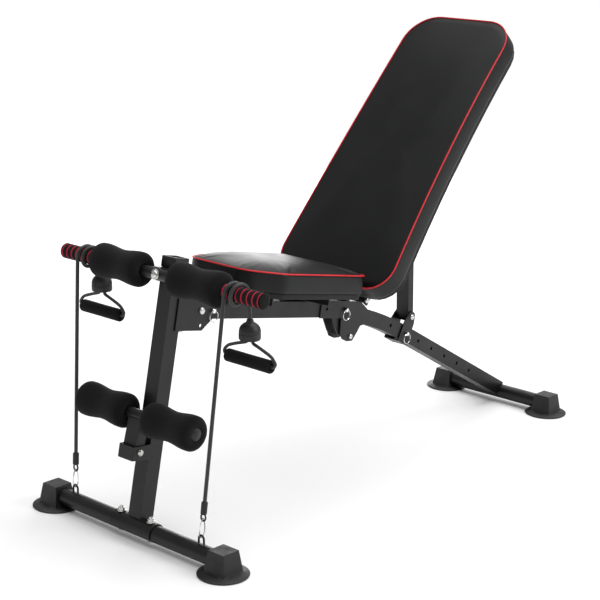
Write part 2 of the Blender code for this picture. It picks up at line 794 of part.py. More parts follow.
def seat_beam(steel):
    """The square beam under the seat, with two lugs for the fold bolt at its rear end."""
    length = BEAM_END_A - BEAM_START_A
    middle = beam((BEAM_END_A + BEAM_START_A) / 2.0, 0.0)
    tube = hollow_tube("seat_beam", (TUBE, length, TUBE), middle, steel, -LEAN, 1)
    lugs = []
    outline = [(0.450, -0.0180), (0.478, -0.058), (FOLD_BOLT[0] - 0.012, -0.0755)]
    outline += [(FOLD_BOLT[0] + 0.006, -0.0755), (FOLD_BOLT[0] + 0.0073, -0.060), (0.492, -0.018)]
    for label, x in (("left", -0.0155), ("right", 0.0155)):
        lugs.append(plate("fold_lug_" + label, outline, 0.003, x, None, -LEAN, side(*FRONT_PIVOT)))
    holes = [
        cylinder("beam_pivot_hole", 0.0045, 0.06, beam(0.0, 0.0), "X", None, 12, -LEAN),
        cylinder("beam_front_pin_hole", 0.0040, 0.06, beam(FRONT_PIN_A, 0.0), "X", None, 12, -LEAN),
        cylinder("beam_fold_hole", 0.0045, 0.06, beam(*FOLD_BOLT), "X", None, 12, -LEAN),
        cylinder("beam_fold_pin_hole", 0.0040, 0.06, beam(FOLD_PIN_A, 0.0), "X", None, 12, -LEAN),
    ]
    return cut(join(tube, *lugs), *holes)


def seat_outline(inset):
    """Plan of the seat, narrow at the front and shrunk by the inset, as (x, a)."""
    corners = [
        (SEAT_HALF - inset, SEAT_REAR_A - inset, 0.014),
        (SEAT_HALF - inset, SEAT_FRONT_A + 0.084, 0.050),
        (SEAT_FRONT_HALF - inset, SEAT_FRONT_A + inset, 0.052),
    ]
    right = round_corners([(0.0, SEAT_REAR_A - inset, 0.0)] + corners + [(0.0, SEAT_FRONT_A + inset, 0.0)])
    return right + [(-x, a) for x, a in reversed(right[1:-1])]


def round_corners(corners):
    """An open outline through (x, y, radius) corners, each rounded by an arc of six points."""
    points = [corners[0][:2]]
    for before, corner, after in zip(corners, corners[1:], corners[2:]):
        spot = Vector(corner[:2])
        incoming = (Vector(before[:2]) - spot).normalized()
        outgoing = (Vector(after[:2]) - spot).normalized()
        half_angle = incoming.angle(outgoing) / 2.0
        reach = corner[2] / math.tan(half_angle)
        middle = spot + (incoming + outgoing).normalized() * corner[2] / math.sin(half_angle)
        first = spot + incoming * reach - middle
        last = spot + outgoing * reach - middle
        for index in range(6):
            ray = first.slerp(last, index / 5.0).normalized()
            points.append(tuple(middle + ray * corner[2]))
    points.append(corners[-1][:2])
    return points


def pad(name, outline, thickness, stand, place, material, edge):
    """A flat cushion or board from its plan outline; stand turns its plan to its place."""
    curve = bpy.data.curves.new(name, "CURVE")
    curve.dimensions = "2D"
    curve.fill_mode = "BOTH"
    curve.extrude = thickness / 2.0
    spline = curve.splines.new("POLY")
    spline.points.add(len(outline) - 1)
    spline.use_cyclic_u = True
    for point, (across, along) in zip(spline.points, outline):
        point.co = (across, along, 0.0, 1.0)
    item = curve_to_mesh(name, curve, material, place, (stand, 0.0, 0.0))
    if edge > 0.0:
        soft = item.modifiers.new("soft edges", "BEVEL")
        soft.width = edge
        soft.segments = 2
        soft.limit_method = "ANGLE"
        soft.angle_limit = math.radians(60.0)
    return item


def seat(steel, wood, vinyl):
    """Seat cushion on its board, on two cross supports over the beam."""
    board_middle = SEAT_BOTTOM_B + BOARD / 2.0
    board = pad("seat_board", seat_outline(0.004), BOARD, -LEAN, beam(0.0, board_middle), wood, 0.0)
    low = SEAT_BOTTOM_B + BOARD + GAP
    cushion_middle = beam(0.0, (low + SEAT_TOP_B) / 2.0)
    cushion = pad("seat_cushion", seat_outline(0.0), SEAT_TOP_B - low, -LEAN, cushion_middle, vinyl, 0.006)
    supports = []
    base = TUBE / 2.0 + GAP
    height = SEAT_BOTTOM_B - GAP - base
    for label, a in (("front", 0.150), ("rear", 0.345)):
        top = box(
            f"seat_support_{label}",
            (0.170, 0.032, PLATE),
            beam(a, SEAT_BOTTOM_B - GAP - PLATE / 2.0),
            steel,
            -LEAN,
        )
        web_place = beam(a + 0.0145, base + height / 2.0)
        web = box(f"seat_web_{label}", (0.150, PLATE, height), web_place, None, -LEAN)
        supports.append(join(top, web))
    return [board, cushion, *supports]


def leg_line(offset):
    """Points of the rear leg's line, offset square to it: a gentle bend, then straight."""
    chord = Vector((HOLE_B[0], HOLE_B[1])) - Vector(LEG_START)
    points = []
    steps = 10
    for index in range(steps + 1):
        slope = LEG_START_SLOPE + (LEG_SLOPE - LEG_START_SLOPE) * index / steps
        a = LEG_START[0] + LEG_BEND_RADIUS * (math.sin(slope) - math.sin(LEG_START_SLOPE))
        b = LEG_START[1] - LEG_BEND_RADIUS * (math.cos(LEG_START_SLOPE) - math.cos(slope))
        points.append((a + offset * math.sin(slope), b + offset * math.cos(slope)))
    run = 0.520
    last = points[-1]
    points.append((last[0] + run * math.cos(LEG_SLOPE), last[1] - run * math.sin(LEG_SLOPE)))
    return points


def rear_leg(steel):
    """The bent rear leg, welded to a sleeve that straddles the beam and hangs on the fold bolt."""
    origin = side(*FRONT_PIVOT)
    half = TUBE / 2.0
    outline = leg_line(half) + leg_line(-half)[::-1]
    leg = plate("rear_leg", outline, TUBE, 0.0, steel, -LEAN, origin)
    hollow = leg_line(half - WALL) + leg_line(WALL - half)[::-1]
    first = hollow[0]
    last = hollow[-1]
    hollow = [(first[0] - 0.02, first[1] + 0.002)] + hollow + [(last[0] - 0.02, last[1] + 0.002)]
    bore = plate("rear_leg_bore", hollow, TUBE - 2.0 * WALL, 0.0, None, -LEAN, origin)
    cope = cylinder(
        "rear_leg_cope", STABILISER_RADIUS + GAP, 0.08, side(WHEELBASE, STABILISER_Z), "X", None, 28
    )
    beyond = box("rear_leg_end", (0.08, 0.20, 0.20), side(WHEELBASE + 0.112, 0.060), None)
    under = box("rear_leg_under", (0.08, 0.20, 0.06), side(WHEELBASE, -0.022), None)
    inner = half + GAP
    outer = inner + PLATE
    top = inner + PLATE
    sleeve_outline = [
        (SLEEVE_START_A, top),
        (SLEEVE_END_A, top - 0.002),
        (0.575, 0.002),
        (0.575, -0.036),
        (0.557, -0.040),
        (0.549, -0.054),
        (0.541, -0.066),
        (FOLD_BOLT[0] + 0.010, -0.0765),
        (FOLD_BOLT[0] - 0.010, -0.0775),
        (0.495, -0.072),
        (0.484, -0.056),
        (0.479, -0.0205),
        (SLEEVE_START_A, -0.0205),
    ]
    sleeve = plate("leg_sleeve", sleeve_outline, 2.0 * outer, 0.0, None, -LEAN, origin)
    beam_room = BEAM_END_A + 0.0010
    front_middle = (SLEEVE_START_A - 0.01 + beam_room) / 2.0
    front_length = beam_room - SLEEVE_START_A + 0.01
    front_place = beam(front_middle, inner - 0.06)
    channel = box("leg_sleeve_channel", (2.0 * inner, front_length, 0.12), front_place, None, -LEAN)
    rear_room = 0.600
    rear_middle = (beam_room + rear_room) / 2.0
    weld = half - 0.001
    rear_channel = box(
        "leg_sleeve_rear_channel",
        (2.0 * weld, rear_room - beam_room + 0.0002, 0.12),
        beam(rear_middle, inner - 0.06),
        None,
        -LEAN,
    )
    cut(sleeve, channel, rear_channel)
    ahead = box("rear_leg_front", (0.06, 0.10, 0.10), beam(beam_room + 0.0005 - 0.05, -0.01), None, -LEAN)
    hinge = cylinder("backrest_hinge_tube", HINGE_TUBE_RADIUS, 0.1385, side(*BACK_HINGE), "X", None, 16)
    hinge_bore = cylinder("backrest_hinge_bore", 0.0045, 0.20, side(*BACK_HINGE), "X", None, 12)
    saddle_block = box("backrest_hinge_block", (0.036, 0.014, 0.010), beam(0.500, 0.0255), None, -LEAN)
    holes = [
        cylinder("leg_fold_hole", 0.0045, 0.06, beam(*FOLD_BOLT), "X", None, 12, -LEAN),
        cylinder("leg_fold_pin_hole", 0.0043, 0.06, beam(FOLD_PIN_A, 0.0), "X", None, 12, -LEAN),
        cylinder("sleeve_spare_hole", 0.0040, 0.06, beam(0.421, 0.002), "X", None, 12, -LEAN),
    ]
    for index in range(-1, 6):
        drop = -0.0009 if index < 0 else 0.0
        spot = along_leg(index * HOLE_STEP, drop)
        holes.append(cylinder(f"adjustment_hole_{index + 1}", HOLE_RADIUS, 0.06, spot, "X", None, 12))
    cut(leg, bore, cope, beyond, under, ahead)
    return cut(join(leg, sleeve, saddle_block, hinge), hinge_bore, *holes)


def rear_stabiliser(steel, rubber):
    tube = cylinder(
        "rear_stabilizer", STABILISER_RADIUS, 0.330, side(WHEELBASE, STABILISER_Z), "X", steel, 28
    )
    bore = cylinder(
        "rear_stabilizer_bore", STABILISER_RADIUS - WALL, 0.340, side(WHEELBASE, STABILISER_Z), "X", None, 28
    )
    feet = [
        foot("rear_foot_left", -REAR_FEET_X, WHEELBASE, rubber, 1.0),
        foot("rear_foot_right", REAR_FEET_X, WHEELBASE, rubber, -1.0),
    ]
    return [cut(tube, bore), *feet]


def backrest(steel, chrome, wood, vinyl):
    """Cushion, board and welded frame, tilting on the long bolt behind the seat."""
    length = BACK_HIGH_S - BACK_LOW_S
    board_n = BACK_FRONT_N - BACK_THICK - GAP - BOARD / 2.0
    board = bowed("backrest_board", back_stations(0.004), board_n - BOARD / 2.0, BOARD, wood)
    cushion = bowed("backrest_cushion", back_stations(0.0), BACK_FRONT_N - BACK_THICK, BACK_THICK, vinyl)
    rail_n = board_n - BOARD / 2.0 - GAP - RAIL / 2.0
    rail_top = length * 0.80
    rail_low = 0.012
    rail_spots = [rail_low + (rail_top - rail_low) * index / 8.0 for index in range(9)]
    right_rail = [(s, RAIL_X - RAIL / 2.0, RAIL_X + RAIL / 2.0) for s in rail_spots]
    left_rail = [(s, -RAIL_X - RAIL / 2.0, RAIL / 2.0 - RAIL_X) for s in rail_spots]
    frame = bowed("backrest_frame", right_rail, rail_n - RAIL / 2.0, RAIL, steel)
    parts = [bowed("frame_rail", left_rail, rail_n - RAIL / 2.0, RAIL, None)]
    for index, s in enumerate((0.060, rail_top - 0.010)):
        size = (2.0 * RAIL_X, RAIL, 0.014)
        parts.append(box(f"frame_cross_{index}", size, back(s, rail_n + back_bow(s)), None, BACK_ANGLE))
    plate_place = back(ARM_TOP[0], rail_n + 0.005)
    parts.append(box("frame_arm_plate", (2.0 * RAIL_X, 0.072, 0.005), plate_place, None, BACK_ANGLE))
    origin = side(*BACK_HINGE)
    clevis = [(ARM_TOP[0] - 0.034, rail_n + 0.005), (ARM_TOP[0] + 0.034, rail_n + 0.005)]
    clevis += [(ARM_TOP[0] + 0.024, ARM_TOP[1] - 0.026), (ARM_TOP[0] - 0.027, ARM_TOP[1] - 0.026)]
    ear_top = rail_n + back_bow(rail_low)
    ear = [(-0.010, -0.010), (0.010, -0.010), (0.044, ear_top), (0.0155, ear_top + 0.006), (-0.010, 0.008)]
    clevis_x = TUBE / 2.0 + 2.0 * GAP + PLATE / 2.0
    for label, sign in (("left", -1.0), ("right", 1.0)):
        side_x = sign * clevis_x
        ear_x = sign * 0.0722
        parts.append(plate("frame_clevis_" + label, clevis[::-1], PLATE, side_x, None, BACK_ANGLE, origin))
        parts.append(plate("frame_ear_" + label, ear, 0.005, ear_x, None, BACK_ANGLE, origin))
    holes = [
        cylinder("frame_hinge_hole", 0.0045, 0.20, origin, "X", None, 12),
        box("frame_arm_window", (0.06, *ARM_WINDOW), back(*ARM_WINDOW_MIDDLE), None, BACK_ANGLE),
    ]
    cut(join(frame, *parts), *holes)
    hinge = bolt("backrest_hinge_bolt", 0.0075, 0.004, 0.1494, origin, chrome)
    return [board, cushion, frame], hinge


def back_share(s):
    """How far s is up the backrest, from -1 at its bottom to 1 at its top."""
    return (2.0 * s - BACK_LOW_S - BACK_HIGH_S) / (BACK_HIGH_S - BACK_LOW_S)


def back_bow(s):
    t = back_share(s)
    return BACK_BOW[0] + BACK_BOW[1] * t + BACK_BOW[2] * t * t


def back_stations(inset):
    """The backrest's plan as (s, left x, right x) stations, its corners rounded."""
    low = BACK_LOW_S + inset
    high = BACK_HIGH_S - inset
    turns = [math.radians(15.0 * index) for index in range(7)]
    spots = [low + BACK_LOW_CORNER * (1.0 - math.cos(turn)) for turn in turns]
    middle_low = low + BACK_LOW_CORNER
    middle_high = high - BACK_HIGH_CORNER
    spots += [middle_low + (middle_high - middle_low) * index / 9.0 for index in range(1, 9)]
    spots += [high - BACK_HIGH_CORNER * (1.0 - math.cos(turn)) for turn in reversed(turns)]
    stations = []
    for s in spots:
        t = back_share(s)
        half = BACK_HALF[0] + BACK_HALF[1] * t + BACK_HALF[2] * t * t - inset
        for corner, depth in ((BACK_LOW_CORNER, s - low), (BACK_HIGH_CORNER, high - s)):
            if depth < corner:
                half -= corner - math.sqrt(max(0.0, corner**2 - (corner - depth) ** 2))
        stations.append((s, -half, half))
    return stations


def bowed(name, stations, low, thickness, material):
    """A solid on the backrest through (s, left x, right x) stations, following its bow."""
    shape = bmesh.new()
    rows = []
    for s, left, right in stations:
        near = low + back_bow(s)
        far = near + thickness
        corners = (back(s, near, left), back(s, near, right), back(s, far, right), back(s, far, left))
        rows.append([shape.verts.new(corner) for corner in corners])
    for first, second in zip(rows, rows[1:]):
        for index in range(4):
            after = (index + 1) % 4
            shape.faces.new((first[index], first[after], second[after], second[index]))
    shape.faces.new(rows[0])
    shape.faces.new(rows[-1])
    bmesh.ops.recalc_face_normals(shape, faces=shape.faces)
    mesh = bpy.data.meshes.new(name)
    shape.to_mesh(mesh)
    shape.free()
    return finish(name, mesh, material, Vector((0.0, 0.0, 0.0)))


def support_arm(steel, chrome):
    """The strut from the sliding bracket to the backrest frame, with its upper bolt."""
    low = along_leg(0.0, SLIDER_PIVOT_RISE)
    high = back(*ARM_TOP)
    line = high - low
    tilt = -math.atan2(line.y, line.z)
    middle = (low + high) / 2.0
    arm = box("support_arm", (TUBE, ARM_DEPTH, line.length + 0.020), middle, steel, tilt)
    inside = (TUBE - 2.0 * WALL, ARM_DEPTH - 2.0 * WALL, line.length + 0.05)
    bore = box("support_arm_bore", inside, middle, None, tilt)
    holes = [
        cylinder("arm_low_hole", 0.0045, 0.06, low, "X", None, 12),
        cylinder("arm_high_hole", 0.0045, 0.06, high, "X", None, 12),
    ]
    cut(arm, bore, *holes)
    across = 2.0 * (TUBE / 2.0 + 2.0 * GAP + PLATE)
    return arm, bolt("arm_top_bolt", 0.0075, 0.004, across, high, chrome)


def slider(steel, chrome):
    """The U-shaped bracket that slides along the leg, with the strut's lower bolt and a lock pin."""
    inner = TUBE / 2.0 + 2.0 * GAP
    outer = inner + PLATE
    tilt = -LEAN - LEG_SLOPE
    under = -TUBE / 2.0 - SLIDER_CLEARANCE
    outline = [
        (-0.021, under - PLATE),
        (0.019, under - PLATE),
        (0.019, 0.030),
        (0.012, SLIDER_PIVOT_RISE + 0.008),
        (0.005, SLIDER_PIVOT_RISE + 0.013),
        (-0.005, SLIDER_PIVOT_RISE + 0.013),
        (-0.012, SLIDER_PIVOT_RISE + 0.008),
        (-0.021, 0.026),
    ]
    bracket = plate("slider_bracket", outline, 2.0 * outer, 0.0, steel, tilt, along_leg(0.0))
    slot = box("slider_slot", (2.0 * inner, 0.08, 0.12), along_leg(0.0, under + 0.06), None, tilt)
    holes = [
        cylinder("slider_pivot_hole", 0.0045, 0.06, along_leg(0.0, SLIDER_PIVOT_RISE), "X", None, 12),
        cylinder("slider_pin_hole", 0.0043, 0.06, along_leg(0.0), "X", None, 12),
    ]
    cut(bracket, slot, *holes)
    pivot = bolt("slider_bolt", 0.0080, 0.004, 2.0 * outer, along_leg(0.0, SLIDER_PIVOT_RISE), chrome)
    pin = ring_pin("slider_ring_pin", along_leg(0.0), outer, chrome, 0.0)
    return bracket, pivot, pin


def build():
    clear_scene()
    steel = make_material("black_powder_coated_steel", (0.018, 0.018, 0.020), 0.42, 0.3)
    chrome = make_material("bright_zinc_steel", (0.80, 0.80, 0.80), 0.22, 1.0)
    rubber = make_material("black_rubber", (0.020, 0.020, 0.021), 0.60)
    plastic = make_material("black_plastic", (0.015, 0.015, 0.015), 0.45)
    foam = make_material("black_foam", (0.016, 0.016, 0.017), 0.95)
    grip_foam = make_material("red_and_black_grip_foam", (0.45, 0.010, 0.060), 0.85)
    vinyl = make_material("black_vinyl", (0.014, 0.015, 0.016), 0.38)
    wood = make_material("plywood", (0.20, 0.13, 0.07), 0.80)
    band = make_material("black_latex_tube", (0.025, 0.025, 0.027), 0.50)

    outer = TUBE / 2.0 + GAP + PLATE
    front_fold = axis_empty("front_fold_axis", beam(0.0, 0.0), -LEAN)
    rear_fold = axis_empty("rear_fold_axis", beam(*FOLD_BOLT), -LEAN)
    arm_axis = axis_empty("roller_arm_axis", beam(*ARM_HINGE), -LEAN)
    back_axis = axis_empty("backrest_axis", side(*BACK_HINGE), BACK_ANGLE)
    slide_axis = axis_empty("slider_axis", along_leg(0.0), -LEAN - LEG_SLOPE)
    strut_axis = axis_empty("support_arm_axis", along_leg(0.0, SLIDER_PIVOT_RISE))

    front = [front_stabiliser(steel), saddle(steel)]
    for label, sign in (("left", -1.0), ("right", 1.0)):
        front.append(foot("front_foot_" + label, sign * FRONT_FEET_X, 0.0, rubber, -sign))
        front.append(eye_loop("eye_loop_" + label, sign * EYE_X, steel))
        through = 2.0 * (STABILISER_RADIUS + GAP + PLATE)
        spot = side(0.0, STABILISER_Z, sign * 0.046)
        front.append(saddle_bolt("saddle_bolt_" + label, through, spot, chrome))
    front += upright(steel, plastic)
    front += gusset(steel, chrome)
    front += upper_rollers(steel, chrome, foam, grip_foam)
    fixed, swinging = lower_rollers(steel, chrome, foam)
    front += fixed
    for piece in swinging:
        hang(piece, arm_axis)
    for label, places in BANDS.items():
        pieces, handle = resistance_band(label, places, chrome, rubber, band, foam)
        front += pieces
        front.append(handle)
    front.append(ring_pin("front_ring_pin", beam(FRONT_PIN_A, 0.0), outer, chrome, -LEAN))
    for piece in front:
        hang(piece, front_fold)

    seat_beam(steel)
    seat(steel, wood, vinyl)
    fold_across = 2.0 * outer
    bolt("fold_bolt", 0.0070, 0.004, fold_across, beam(*FOLD_BOLT), chrome, "X", -LEAN)

    rear = [rear_leg(steel), ring_pin("fold_ring_pin", beam(FOLD_PIN_A, 0.0), outer, chrome, -LEAN)]
    rear += rear_stabiliser(steel, rubber)
    tilting, hinge = backrest(steel, chrome, wood, vinyl)
    rear.append(hinge)
    bracket, pivot, pin = slider(steel, chrome)
    arm, arm_bolt = support_arm(steel, chrome)
    for piece in rear:
        hang(piece, rear_fold)
    for piece in tilting:
        hang(piece, back_axis)
    for piece in (bracket, pivot, pin):
        hang(piece, slide_axis)
    for piece in (arm, arm_bolt):
        hang(piece, strut_axis)


build()
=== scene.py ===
"""Looks of a decline sit up bench.

Padded seat and backrest, foam leg rollers, ribbed grips and stretch bands, all in metres.
"""
import json
import math

import bmesh
import bpy
from mathutils import Matrix, Vector


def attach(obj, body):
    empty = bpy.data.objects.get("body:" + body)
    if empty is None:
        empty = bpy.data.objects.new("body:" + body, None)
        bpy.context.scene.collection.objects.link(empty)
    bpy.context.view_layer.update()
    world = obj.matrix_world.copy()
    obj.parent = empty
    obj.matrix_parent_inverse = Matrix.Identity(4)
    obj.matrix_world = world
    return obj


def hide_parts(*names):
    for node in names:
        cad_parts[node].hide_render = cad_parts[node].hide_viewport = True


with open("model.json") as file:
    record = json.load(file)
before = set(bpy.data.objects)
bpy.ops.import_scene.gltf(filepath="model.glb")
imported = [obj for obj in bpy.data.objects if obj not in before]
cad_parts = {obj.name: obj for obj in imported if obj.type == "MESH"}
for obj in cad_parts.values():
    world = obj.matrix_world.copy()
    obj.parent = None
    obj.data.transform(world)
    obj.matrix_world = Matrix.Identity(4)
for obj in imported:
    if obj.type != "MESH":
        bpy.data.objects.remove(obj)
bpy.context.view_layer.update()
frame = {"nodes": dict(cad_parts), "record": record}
nodes = frame["nodes"]
body_of = {}
for body, members in frame["record"]["behaviour"]["bodies"].items():
    for member in members:
        body_of[member] = body

MM = 0.001
LEAN = math.radians(10.4)
BACK_ANGLE = math.radians(49.5)
MIDDLE_Y = 0.6715
FRONT_PIVOT = (0.171, 0.4785)
BACK_HINGE = (0.6688, 0.4206)
UPPER_AXIS = (-0.1180, 0.0732)
LOWER_AXIS = (-0.1212, -0.2290)


def side(y, z, x=0.0):
    """Place in the bench's side view, y counted from the front stabiliser."""
    return Vector((x, y - MIDDLE_Y, z))


def beam(a, b, x=0.0):
    """Place along the seat beam: a rearwards from the front pivot, b above it."""
    y = FRONT_PIVOT[0] + a * math.cos(LEAN) + b * math.sin(LEAN)
    z = FRONT_PIVOT[1] - a * math.sin(LEAN) + b * math.cos(LEAN)
    return side(y, z, x)


BACK_LOW_S = -0.006
BACK_HIGH_S = 0.772
# The backrest's half-width and its bow out of the flat, as a + b t + c t2 with t from -1 at the bottom to 1.
BACK_HALF = (0.160, -0.0115, 0.0065)
BACK_BOW = (0.0, -0.0045, -0.0115)
BACK_LOW_CORNER = 0.070
BACK_HIGH_CORNER = 0.082


def along_back(terms, s):
    t = (2.0 * s - BACK_LOW_S - BACK_HIGH_S) / (BACK_HIGH_S - BACK_LOW_S)
    return terms[0] + terms[1] * t + terms[2] * t * t


def back(s, n, x=0.0):
    """Place on the backrest: s up along it, n out of its front."""
    y = BACK_HINGE[0] + s * math.cos(BACK_ANGLE) - n * math.sin(BACK_ANGLE)
    z = BACK_HINGE[1] + s * math.sin(BACK_ANGLE) + n * math.cos(BACK_ANGLE)
    return side(y, z, x)


# ---------------------------------------------------------------- camera and studio

CAMERA_PLACE = Vector((2.3045, -2.7738, 1.3620))
CAMERA_AZIMUTH = math.radians(41.11)
CAMERA_DROP = math.radians(14.77)
CAMERA_ROLL = math.radians(-1.47)


def studio_camera():
    lens = bpy.data.cameras.new("studio_camera")
    lens.lens = 93.24
    lens.sensor_width = 36.0
    lens.shift_x = -0.0117
    lens.shift_y = -0.0050
    lens.clip_end = 60.0
    camera = bpy.data.objects.new("studio_camera", lens)
    bpy.context.scene.collection.objects.link(camera)
    ahead = Vector(
        (
            -math.sin(CAMERA_AZIMUTH) * math.cos(CAMERA_DROP),
            math.cos(CAMERA_AZIMUTH) * math.cos(CAMERA_DROP),
            -math.sin(CAMERA_DROP),
        )
    )
    right = ahead.cross(Vector((0.0, 0.0, 1.0))).normalized()
    up = right.cross(ahead)
    turn = Matrix.Rotation(CAMERA_ROLL, 3, ahead)
    right = turn @ right
    up = turn @ up
    camera.matrix_world = Matrix.LocRotScale(
        CAMERA_PLACE, Matrix((right, up, -ahead)).transposed(), None
    )
    bpy.context.scene.camera = camera


studio_camera()

# ---------------------------------------------------------------- materials


def linear(code):
    """An sRGB hex colour as the linear values that shaders take."""
    parts = [int(code[i : i + 2], 16) / 255.0 for i in (1, 3, 5)]
    return tuple(p / 12.92 if p <= 0.04045 else ((p + 0.055) / 1.055) ** 2.4 for p in parts) + (1.0,)


def add(tree, kind, values=None, links=None, **settings):
    """A node with its settings, its input values and the sockets that feed it."""
    item = tree.nodes.new("ShaderNode" + kind)
    for key, value in settings.items():
        setattr(item, key, value)
    for key, value in (values or {}).items():
        item.inputs[key].default_value = value
    for key, source in (links or {}).items():
        tree.links.new(source, item.inputs[key])
    return item


def surface(name, **values):
    """A new material with its Principled shader's own values, and its object coordinates."""
    material = bpy.data.materials.new(name)
    material.use_nodes = True
    tree = material.node_tree
    shader = tree.nodes["Principled BSDF"]
    for key, value in values.items():
        shader.inputs[key.replace("_", " ")].default_value = value
    place = add(tree, "TexCoord").outputs["Object"]
    return material, tree, shader, place


def ramp(tree, source, low, high, first, last):
    """A source's spread between low and high, turned into values from first to last."""
    item = add(
        tree,
        "MapRange",
        {"From Min": low, "From Max": high, "To Min": first, "To Max": last},
        {"Value": source},
    )
    return item.outputs["Result"]


def tint(tree, source, dark, light):
    """A colour between two hex colours, picked by a 0 to 1 source."""
    item = add(tree, "Mix", None, {"Factor": source}, data_type="RGBA")
    item.inputs["A"].default_value = linear(dark)
    item.inputs["B"].default_value = linear(light)
    return item.outputs["Result"]


def bumped(tree, shader, height, strength, depth):
    item = add(tree, "Bump", {"Strength": strength, "Distance": depth}, {"Height": height})
    tree.links.new(item.outputs["Normal"], shader.inputs["Normal"])
    return item


def powder_coated_steel():
    """Polyester powder coat baked on steel tube: satin black with a fine orange peel."""
    material, tree, shader, place = surface(
        "powder_coated_steel", Metallic=0.0, IOR=1.45, Specular_IOR_Level=0.45
    )
    peel = add(tree, "TexNoise", {"Scale": 1 / (2.2 * MM), "Detail": 3.0}, {"Vector": place})
    cloud = add(tree, "TexNoise", {"Scale": 1 / (60 * MM), "Detail": 4.0}, {"Vector": place})
    worn = ramp(tree, cloud.outputs["Fac"], 0.3, 0.7, 0.0, 1.0)
    tree.links.new(tint(tree, worn, "#08080a", "#0e0e10"), shader.inputs["Base Color"])
    tree.links.new(ramp(tree, cloud.outputs["Fac"], 0.3, 0.7, 0.36, 0.48), shader.inputs["Roughness"])
    bumped(tree, shader, peel.outputs["Fac"], 0.22, 0.35 * MM)
    return material


def zinc_plated_steel():
    """Bright zinc plate on a cold-headed bolt: pale metal with faint turning marks and dull patches."""
    material, tree, shader, place = surface("zinc_plated_steel", Metallic=1.0)
    cloud = add(tree, "TexNoise", {"Scale": 1 / (4 * MM), "Detail": 5.0}, {"Vector": place})
    scratch = add(tree, "TexNoise", {"Scale": 1 / (0.8 * MM), "Detail": 2.0}, {"Vector": place})
    tone = ramp(tree, cloud.outputs["Fac"], 0.35, 0.65, 0.0, 1.0)
    tree.links.new(tint(tree, tone, "#b9bab6", "#dcdcd8"), shader.inputs["Base Color"])
    tree.links.new(ramp(tree, cloud.outputs["Fac"], 0.3, 0.7, 0.20, 0.38), shader.inputs["Roughness"])
    bumped(tree, shader, scratch.outputs["Fac"], 0.15, 0.1 * MM)
    return material


def chromed_wire():
    """Nickel-chrome plate on bent wire: a bright mirror with slight waviness."""
    material, tree, shader, place = surface("chromed_wire", Metallic=1.0, Roughness=0.12)
    wave = add(tree, "TexNoise", {"Scale": 1 / (3 * MM), "Detail": 2.0}, {"Vector": place})
    tree.links.new(tint(tree, wave.outputs["Fac"], "#cfd0d2", "#f0f0f0"), shader.inputs["Base Color"])
    bumped(tree, shader, wave.outputs["Fac"], 0.10, 0.1 * MM)
    return material


def moulded_rubber():
    """Compression-moulded rubber: deep grey-black, satin, with a fine mould grain."""
    material, tree, shader, place = surface("moulded_rubber", IOR=1.50)
    grain = add(tree, "TexNoise", {"Scale": 1 / (1.4 * MM), "Detail": 4.0}, {"Vector": place})
    bloom = add(tree, "TexNoise", {"Scale": 1 / (26 * MM), "Detail": 3.0}, {"Vector": place})
    tree.links.new(tint(tree, bloom.outputs["Fac"], "#0a0a0b", "#131415"), shader.inputs["Base Color"])
    tree.links.new(ramp(tree, bloom.outputs["Fac"], 0.3, 0.7, 0.44, 0.62), shader.inputs["Roughness"])
    bumped(tree, shader, grain.outputs["Fac"], 0.25, 0.3 * MM)
    return material


def moulded_polypropylene():
    """Injection-moulded polypropylene cap: black, fine spark-eroded texture."""
    material, tree, shader, place = surface("moulded_polypropylene", IOR=1.49, Roughness=0.46)
    grain = add(tree, "TexVoronoi", {"Scale": 1 / (1.1 * MM)}, {"Vector": place})
    tree.links.new(tint(tree, grain.outputs["Distance"], "#0c0c0d", "#131415"), shader.inputs["Base Color"])
    bumped(tree, shader, grain.outputs["Distance"], 0.18, 0.2 * MM)
    return material


def closed_cell_foam(name, dark, light):
    """Extruded nitrile foam with a ground skin: matt and grainy, its cells drawn coarse enough to show."""
    material, tree, shader, place = surface(
        name, IOR=1.33, Roughness=0.95, Sheen_Weight=0.04, Sheen_Roughness=0.5
    )
    cell = add(tree, "TexVoronoi", {"Scale": 1 / (1.7 * MM)}, {"Vector": place})
    grit = add(
        tree, "TexNoise", {"Scale": 1 / (3.5 * MM), "Detail": 6.0, "Roughness": 0.7}, {"Vector": place}
    )
    tone = ramp(tree, grit.outputs["Fac"], 0.35, 0.68, 0.0, 1.0)
    tree.links.new(tint(tree, tone, dark, light), shader.inputs["Base Color"])
    rough = add(
        tree, "Math", None, {0: cell.outputs["Distance"], 1: grit.outputs["Fac"]}, operation="ADD"
    )
    bumped(tree, shader, rough.outputs["Value"], 0.42, 0.5 * MM)
    return material


def pvc_leather(name, dark, light, gloss):
    """Calendered PVC upholstery leather: soft satin sheen over an embossed pebble grain."""
    material, tree, shader, place = surface(name, IOR=1.40, Specular_IOR_Level=0.42)
    warp = add(tree, "TexNoise", {"Scale": 1 / (9 * MM), "Detail": 2.0}, {"Vector": place})
    bent = add(tree, "Mix", {"Factor": 0.004}, None, data_type="VECTOR")
    tree.links.new(place, bent.inputs[4])
    tree.links.new(warp.outputs["Color"], bent.inputs[5])
    pebble = add(
        tree,
        "TexVoronoi",
        {"Scale": 1 / (2.0 * MM)},
        {"Vector": bent.outputs[1]},
        feature="SMOOTH_F1",
    )
    cloud = add(tree, "TexNoise", {"Scale": 1 / (70 * MM), "Detail": 4.0}, {"Vector": place})
    tree.links.new(tint(tree, cloud.outputs["Fac"], dark, light), shader.inputs["Base Color"])
    low, high = gloss
    tree.links.new(ramp(tree, cloud.outputs["Fac"], 0.3, 0.7, low, high), shader.inputs["Roughness"])
    bumped(tree, shader, pebble.outputs["Distance"], 0.16, 0.35 * MM)
    return material


